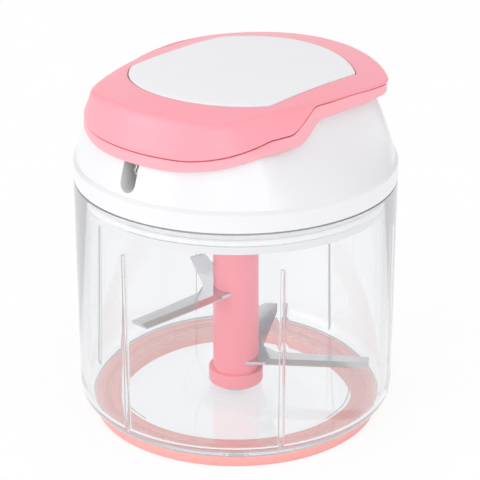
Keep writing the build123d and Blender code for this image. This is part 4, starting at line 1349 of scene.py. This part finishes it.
# ---------------------------------------------------------------- bowl
@dataclass
class Bowl:
    """The clear bowl: one wall and floor with six inner ribs, a pin boss and a bead underneath."""

    finishes: Finishes
    rim_radius: float = 63.0
    wall: float = 3.0
    draft: float = 0.4  # how much narrower the bowl is at its foot
    rim: float = 99.3
    rim_round: float = 0.8
    underside: float = 5.0
    floor: float = 8.5
    corner: float = 9.0
    corner_foot: float = 58.0
    inner_corner: float = 3.5
    boss: float = 8.0
    boss_top: float = 9.6
    pin: float = 3.02
    pin_foot: float = 7.18
    bead: float = 51.5
    bead_half: float = 1.2
    bead_depth: float = 0.4  # drawn shallower than it is, as the clear wall magnifies it
    bead_short: float = 0.05  # by which it ends short of that depth
    recess: float = 45.6  # radius of the shallow recess under the floor
    recess_depth: float = 0.5
    sharp_edge: float = 30.0  # degrees by which an edge turns that stays sharp
    rib_count: int = 6
    rib_start: float = -92.4
    rib_width: float = 2.2
    rib_depth: float = 1.6
    rib_round: float = 0.6
    rib_foot: float = 0.5  # width of the hollow that leads from the wall to a rib
    rib_foot_depth: float = 0.25
    rib_top: float = 83.0
    rib_narrowing: float = 0.4  # share of its width that a rib loses on its way up
    count: int = 240

    def __post_init__(self) -> None:
        """Lays out the directions: even ones between the ribs and close ones on them."""
        half, flat = self.rib_width / 2, self.rib_width / 2 - self.rib_round
        side = [half + self.rib_foot, half + 0.22, half + 0.07, half]
        side += [flat + self.rib_round * share for share in (0.92, 0.75, 0.5, 0.25, 0.0)]
        self.offsets = np.array([-value for value in side] + [0.0] + side[::-1])
        self.depths = np.array([self.depth_at(abs(value)) for value in self.offsets])
        self.rib_turns = [
            math.radians(self.rib_start + 360 / self.rib_count * n) for n in range(self.rib_count)
        ]
        clear = (half + 0.9) / self.rim_radius
        self.between = [
            turn
            for turn in even_turns(self.count) - math.pi
            if all(
                abs(math.remainder(turn - rib, 2 * math.pi)) > clear for rib in self.rib_turns
            )
        ]

    def inner_at(self, height: float) -> float:
        """Radius of the inner wall at a height."""
        return self.rim_radius - self.wall - self.draft * (self.rim - height) / self.rim

    def depth_at(self, offset: float) -> float:
        """How far a rib stands in from the wall at a distance from its middle.

        Args:
            offset: the distance from the rib's middle.

        Returns:
            The depth at the rib's foot.
        """
        half, flat = self.rib_width / 2, self.rib_width / 2 - self.rib_round
        if offset >= half + self.rib_foot:
            return 0.0
        if offset > half:
            return self.rib_foot_depth * (1 - (offset - half) / self.rib_foot) ** 2
        lean = max(0.0, (offset - flat) / self.rib_round)
        return self.rib_depth - self.rib_round * (1 - math.sqrt(max(0.0, 1 - lean**2)))

    def ring(self, radius: float, height: float, ribs: bool = False) -> np.ndarray:
        """One ring of the inner wall.

        Args:
            radius: the ring's radius away from the ribs.
            height: its height.
            ribs: whether the ribs stand at this height.

        Returns:
            The ring's points.
        """
        share = min(1.0, max(0.0, (height - self.floor) / (self.rib_top - self.floor)))
        size = 1 - self.rib_narrowing * share
        wall = self.inner_at(height)
        spots = [(turn, radius) for turn in self.between]
        for rib in self.rib_turns:
            for offset, depth in zip(self.offsets, self.depths):
                reach = min(radius, wall - depth * size) if ribs and depth > 0 else radius
                spots.append((rib + offset * size / self.rim_radius, reach))
        spots.sort(key=lambda spot: math.remainder(spot[0], 2 * math.pi))
        turns, radii = np.array(spots).T
        return ring_at(turns, radii, height)

    def profile(self) -> list[tuple[float, float, bool]]:
        """Radius, height and whether ribs stand there, from the boss out, up, over and under.

        Returns:
            The points of the line in order.
        """
        inner, low = self.rim_radius - self.wall, self.underside
        halfway = 30.0  # radius of a ring of points halfway over the floor
        foot = inner - self.draft
        boss, corner, rounding = self.boss, self.inner_corner, self.rim_round
        middle = [(self.pin, self.pin_foot), (self.pin, self.boss_top)]
        middle += [(boss - 0.3, self.boss_top), (boss, self.boss_top - 0.3)]
        middle += [(boss + 0.1, self.floor + 0.1), (boss + 0.5, self.floor)]
        middle += [(halfway, self.floor)]
        ribbed = [(foot - corner, self.floor)]
        ribbed += [
            (foot - corner * (1 - sine), self.floor + corner * (1 - cosine))
            for cosine, sine in quarter(8, 1)
        ]
        heights = (20.0, 32.0, 44.0, 56.0, 68.0, 78.0, self.rib_top)
        ribbed += [(self.inner_at(height), height) for height in heights]
        heights = (self.rib_top + 0.15, self.rib_top + 3.0, self.rim - 6.0, self.rim - 2.5)
        outside = [(self.inner_at(height), height) for height in heights]
        arc = [(rounding * (1 - cosine), rounding * (1 - sine)) for cosine, sine in quarter(6)]
        outside += [(inner + across, self.rim - down) for across, down in arc]
        outside += [(self.rim_radius - across, self.rim - down) for down, across in arc]
        corner_middle = self.rim_radius - self.draft - self.corner
        rise = math.sqrt(self.corner**2 - (self.corner_foot - corner_middle) ** 2)
        stop, steps = math.asin(rise / self.corner), 14
        for turn in [step / steps * stop for step in range(steps + 1)]:
            across, down = self.corner * math.cos(turn), self.corner * math.sin(turn)
            outside.append((corner_middle + across, low + rise - down))
        bead = low - self.bead_depth + self.bead_short
        bead_out, bead_in = self.bead + self.bead_half, self.bead - self.bead_half
        outside += [(self.corner_foot - 0.3, low), (bead_out, low), (bead_out, bead)]
        outside += [(bead_in, bead), (bead_in, low), (self.recess + 0.5, low)]
        sunk = low + self.recess_depth
        outside += [(self.recess, sunk), (halfway, sunk)]
        runs = ((middle, False), (ribbed, True), (outside, False))
        return [(*spot, ribs) for line, ribs in runs for spot in line]

    def build(self) -> None:
        """Builds the bowl as one closed skin, so that light bends through it as it should."""
        rings = [pole(self.pin_foot)]
        rings += [self.ring(radius, height, ribs) for radius, height, ribs in self.profile()]
        rings.append(pole(self.underside + self.recess_depth))
        clear = self.finishes.get(Finish.CLEAR)
        bowl = mesh_object("bowl_clear", skin(rings), clear, self.sharp_edge)
        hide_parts("bowl")
        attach(bowl, "bowl_body")
        LOG.info("%s: %d faces", bowl.name, len(bowl.data.polygons))


@dataclass
class BaseRing:
    """The soft ring under the bowl, with grip grooves on its sole."""

    finishes: Finishes
    outer: float = 58.0
    sole: float = 56.4
    inner: float = 47.0
    height: float = 4.93
    bead_groove: tuple[float, float] = (50.25, 52.75)
    bead_floor: float = 4.5
    rounding: float = 0.8
    top_round: float = 0.35
    inner_round: float = 0.3
    groove_round: float = 0.1
    seam: float = 2.0  # height on the inner wall at which the line of the section closes
    grip_grooves: tuple[float, ...] = (48.6, 50.2, 51.8, 53.4)
    grip_depth: float = 0.4
    grip_half: tuple[float, float] = (0.5, 0.25)  # half a groove's width, at its mouth and floor

    def build(self) -> None:
        """Builds the ring as one closed lathe skin."""
        low_in, low_out = self.bead_groove
        top, soft, depth = self.height, self.groove_round, self.grip_depth
        mouth, bed = self.grip_half
        corners = [(self.inner, self.seam, 0.0), (self.inner, top, self.top_round)]
        corners += [(low_in, top, soft), (low_in, self.bead_floor, soft)]
        corners += [(low_out, self.bead_floor, soft), (low_out, top, soft)]
        corners += [(self.outer, top, self.top_round), (self.sole, 0.0, self.rounding)]
        for groove in reversed(self.grip_grooves):
            corners += [(groove + mouth, 0.0, soft), (groove + bed, depth, soft)]
            corners += [(groove - bed, depth, soft), (groove - mouth, 0.0, soft)]
        corners += [(self.inner, 0.0, self.inner_round), (self.inner, self.seam, 0.0)]
        line = rounded_corners(corners, 3)[:-1]
        shape = skin(turned_rings(line, even_turns(256)), closed=True)
        ring = mesh_object("foot_ring", shape, self.finishes.get(Finish.RING))
        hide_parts("base_ring")
        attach(ring, "bowl_body")
        LOG.info("%s: %d faces", ring.name, len(ring.data.polygons))


# ---------------------------------------------------------------- screws
@dataclass
class ScrewSet:
    """Equal countersunk screws with a cross recess, their heads facing down."""

    finishes: Finishes
    tree: bpy.types.NodeTree
    node: str
    body: str
    distance: float
    first_angle: float
    number: int
    stretch: float = 1.0
    shift: float = 0.0
    head: float = 2.68
    shank: float = 1.38
    head_height: float = 1.1
    recess_arm: float = 1.45
    recess_half: float = 0.32
    recess_depth: float = 0.7
    pitch: float = 0.9
    tip: float = 1.4  # length without thread at the tip
    root_share: float = 0.86  # of the shank's radius, between the threads
    tip_share: float = 0.8  # of it, where the tip starts to close
    tip_radius: float = 0.5
    play: float = 0.01  # kept free of the CAD screw's box at each end

    def screw(self, length: float) -> Skin:
        """One screw standing on its head at the origin.

        Args:
            length: from the head's face to the tip, in millimetres.

        Returns:
            Its points and faces.
        """
        safe = 1e-6  # keeps the divisions from dividing by nothing
        turns = even_turns(48)
        cosines, sines = np.abs(np.cos(turns)) + safe, np.abs(np.sin(turns)) + safe
        along = np.minimum(self.recess_arm / cosines, self.recess_half / sines)
        across = np.minimum(self.recess_arm / sines, self.recess_half / cosines)
        cross = np.maximum(along, across)
        crest, root = self.shank, self.shank * self.root_share
        line = [(self.tip_radius, length - 0.1), (self.shank * self.tip_share, length - 1.0)]
        height = length - self.tip
        while height > self.head_height + self.pitch:
            line += [(root, height), (crest, height - self.pitch / 2)]
            height -= self.pitch
        line += [(root, self.head_height + 0.1), (self.head, 0.18), (self.head, 0.06)]
        line += [(self.head - 0.08, 0.0), (self.recess_arm + 0.3, 0.0)]
        rings = [pole(length), *turned_rings(line, turns)]
        sides = ((cross + 0.05, 0.0), (cross, 0.08), (cross * 0.8, self.recess_depth))
        rings += [ring_at(turns, radii, level) for radii, level in sides]
        rings.append(pole(self.recess_depth + 0.1))
        return skin(rings)

    def build(self) -> None:
        """Builds one screw and lets the node tree set them out."""
        low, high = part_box(self.node)
        steel = self.finishes.get(Finish.STEEL)
        shape = self.screw((high[2] - low[2]) / MM - 2 * self.play)
        source = mesh_object("screw_pattern", shape, steel)
        screws = grown(
            source,
            self.tree,
            f"{self.node}_recessed",
            Count=self.number,
            Distance=self.distance * MM,
            First_Angle=math.radians(self.first_angle),
            Height=low[2] + self.play * MM,
            Stretch=self.stretch,
            Shift=self.shift * MM,
            Finish=steel,
        )
        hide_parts(self.node)
        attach(screws, self.body)
        LOG.info("%s: %d faces", screws.name, len(screws.data.polygons))


# ---------------------------------------------------------------- cords
@dataclass
class PullCord:
    """The short free cord between the lid's eyelet and the handle."""

    finishes: Finishes
    braid: bpy.types.NodeTree
    cord_radius: float = 1.0
    yarn_radius: float = 0.3
    yarns: int = 16
    pitch: float = 9.0
    step: float = 0.35  # between the rings of a yarn

    def build(self) -> None:
        """Builds the braided cord, which bends between the lid and the handle."""
        line = route_object("pull_cord_line", PULL_ROUTE)
        path = line_points(line)
        cord = grown(
            line,
            self.braid,
            "pull_cord_braid",
            Yarns=self.yarns,
            Radius=(self.cord_radius - (1 + YARN_DIP) * self.yarn_radius) * MM,
            Yarn_Radius=self.yarn_radius * MM,
            Pitch=self.pitch * MM,
            Step=self.step * MM,
            Finish=self.finishes.get(Finish.CORD),
        )
        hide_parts("pull_cord")
        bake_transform(cord)
        LOG.info("pull cord: %d faces", len(cord.data.polygons))


# ---------------------------------------------------------------- light, floor and camera
@dataclass
class Studio:
    """A white table and backdrop, soft lamps and the camera."""

    camera_place: Triple = (0.5015, -0.5744, 0.39465)
    camera_tilt: float = 66.959
    camera_turn: float = 41.0
    lens: float = 157.5
    sensor: float = 36.0
    ambient: float = 0.92
    table_half: float = 3000.0
    table_drop: float = 0.2  # millimetres that it lies below the object
    panel_pairs: int = 4  # grey panels round the object, each between two white ones
    panel_shade: str = "#98989D"
    panel_edge: float = 0.2  # where a white panel starts, in the cosine that sets them out
    looked_at: float = 0.08  # height in metres that the lamps look at

    def camera(self) -> None:
        """Sets the camera."""
        data = bpy.data.cameras.new("camera")
        data.lens = self.lens
        data.sensor_width = self.sensor
        data.clip_start, data.clip_end = 0.05, 20.0
        camera = linked("camera", data)
        camera.location = self.camera_place
        tilt, turn = math.radians(self.camera_tilt), math.radians(self.camera_turn)
        camera.rotation_euler = (tilt, 0.0, turn)
        bpy.context.scene.camera = camera

    def world(self) -> None:
        """Surrounds the object with a white backdrop that gloss and glass see too.

        Light that bends out to the sides through clear plastic meets soft grey panels between
        white ones, which is what draws the edges of the bowl.
        """
        world = bpy.data.worlds.new("studio")
        bpy.context.scene.world = world
        world.use_nodes = True
        tree = world.node_tree
        tree.nodes.clear()
        add = partial(add_node, tree)
        direction = add("ShaderNodeTexCoord").outputs["Generated"]
        parts = add(SEPARATE, Vector=direction).outputs
        bearing = add(MATH, {"operation": "ARCTAN2"}, i0=parts["Y"], i1=parts["X"])
        ahead = -math.radians(self.camera_turn + 90.0)  # puts a white panel behind the object
        pairs = self.panel_pairs
        fold = add(MATH, TIMES_PLUS, i0=bearing, i1=float(pairs), i2=ahead * pairs)
        wave = add(MATH, COSINE, i0=fold)
        panels = add(RANGE, Value=wave, From_Min=-1.0, From_Max=self.panel_edge)
        shades = add(RAMP, Fac=panels)
        set_ramp(shades, [(0.0, self.panel_shade), (1.0, "#FFFFFF")])
        bent = add(BACKGROUND, Color=shades, Strength=1.0)
        soft = add(BACKGROUND, Color=linear("#FDFDFF"), Strength=self.ambient)
        seen = add(BACKGROUND, Color=linear("#FFFFFF"), Strength=1.0)
        ray = add(RAY).outputs
        mirror = add(MATH, LARGER, i0=ray["Is Glossy Ray"], i1=ray["Is Transmission Ray"])
        lit = add(MIX_SHADER, i0=mirror, i1=soft, i2=bent)
        mix = add(MIX_SHADER, i0=ray["Is Camera Ray"], i1=lit, i2=seen)
        add("ShaderNodeOutputWorld", Surface=mix)

    def floor(self) -> None:
        """Lays a wide pale table top."""
        count, half = 7, self.table_half
        steps = np.linspace(-half, half, count)
        points = np.array([(x, y, -self.table_drop) for y in steps for x in steps])
        corners = [row * count + i for row in range(count - 1) for i in range(count - 1)]
        faces = [(n, n + 1, n + count + 1, n + count) for n in corners]
        floor = mesh_object("table_top", (points, faces), TablePaper().build())

    def lamp(self, name: str, place: Triple, size: float, watts: float) -> None:
        """Hangs one soft square lamp that looks at the object.

        Args:
            name: the lamp's name.
            place: where it hangs, in metres.
            size: its side, in metres.
            watts: its power.
        """
        data = bpy.data.lights.new(name, "AREA")
        data.shape = "SQUARE"
        data.size = size
        data.energy = watts
        lamp = linked(name, data)
        lamp.location = place
        look = Vector((0.0, 0.0, self.looked_at)) - Vector(place)
        lamp.rotation_euler = look.to_track_quat("-Z", "Y").to_euler()

    def build(self) -> None:
        """Sets up the whole studio."""
        self.camera()
        self.world()
        self.floor()
        self.lamp("key_lamp", (-0.5, -1.1, 0.3), 1.0, 5.4)
        self.lamp("fill_lamp", (0.75, -0.8, 0.2), 0.8, 1.4)
        self.lamp("side_lamp", (1.1, -0.25, 0.25), 0.8, 1.9)
        bpy.context.scene.view_settings.view_transform = "Standard"


def dress_cad(frame: dict, finishes: Finishes) -> None:
    """Gives each CAD node its finish.

    Args:
        finishes: the finishes.
    """
    chosen = {name: finish for finish, names in CAD_NODES.items() for name in names}
    for name, node in frame["nodes"].items():
        node.data.materials.clear()
        node.data.materials.append(finishes.get(chosen[name]))
    LOG.info("dressed %d CAD nodes", len(frame["nodes"]))


def main() -> None:
    """Builds the looks in order."""
    logging.basicConfig(level=logging.INFO, format="%(message)s")
    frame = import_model()
    finishes = Finishes()
    Studio().build()
    dress_cad(frame, finishes)
    PullCord(finishes, braid_tree()).build()
    Bowl(finishes).build()
    BaseRing(finishes).build()
    nodes = frame["nodes"]
    Handle(finishes, LidSurface(nodes["lid_shell"]), nodes["handle_base"]).build()
    screws = ring_tree()
    ScrewSet(finishes, screws, "cover_screws", "lid_body", 46.0, 45.0, 4).build()
    ScrewSet(finishes, screws, "case_screws", "lid_body", 31.5, 90.0, 3).build()
    ScrewSet(finishes, screws, "spindle_screws", "spool_body", 10.5, 90.0, 3).build()
    ScrewSet(
        finishes, screws, "handle_screws", "handle_body", 38.184, 45.0, 4, 30.0 / 27.0, 6.0
    ).build()


if __name__ == "__main__":
    main()
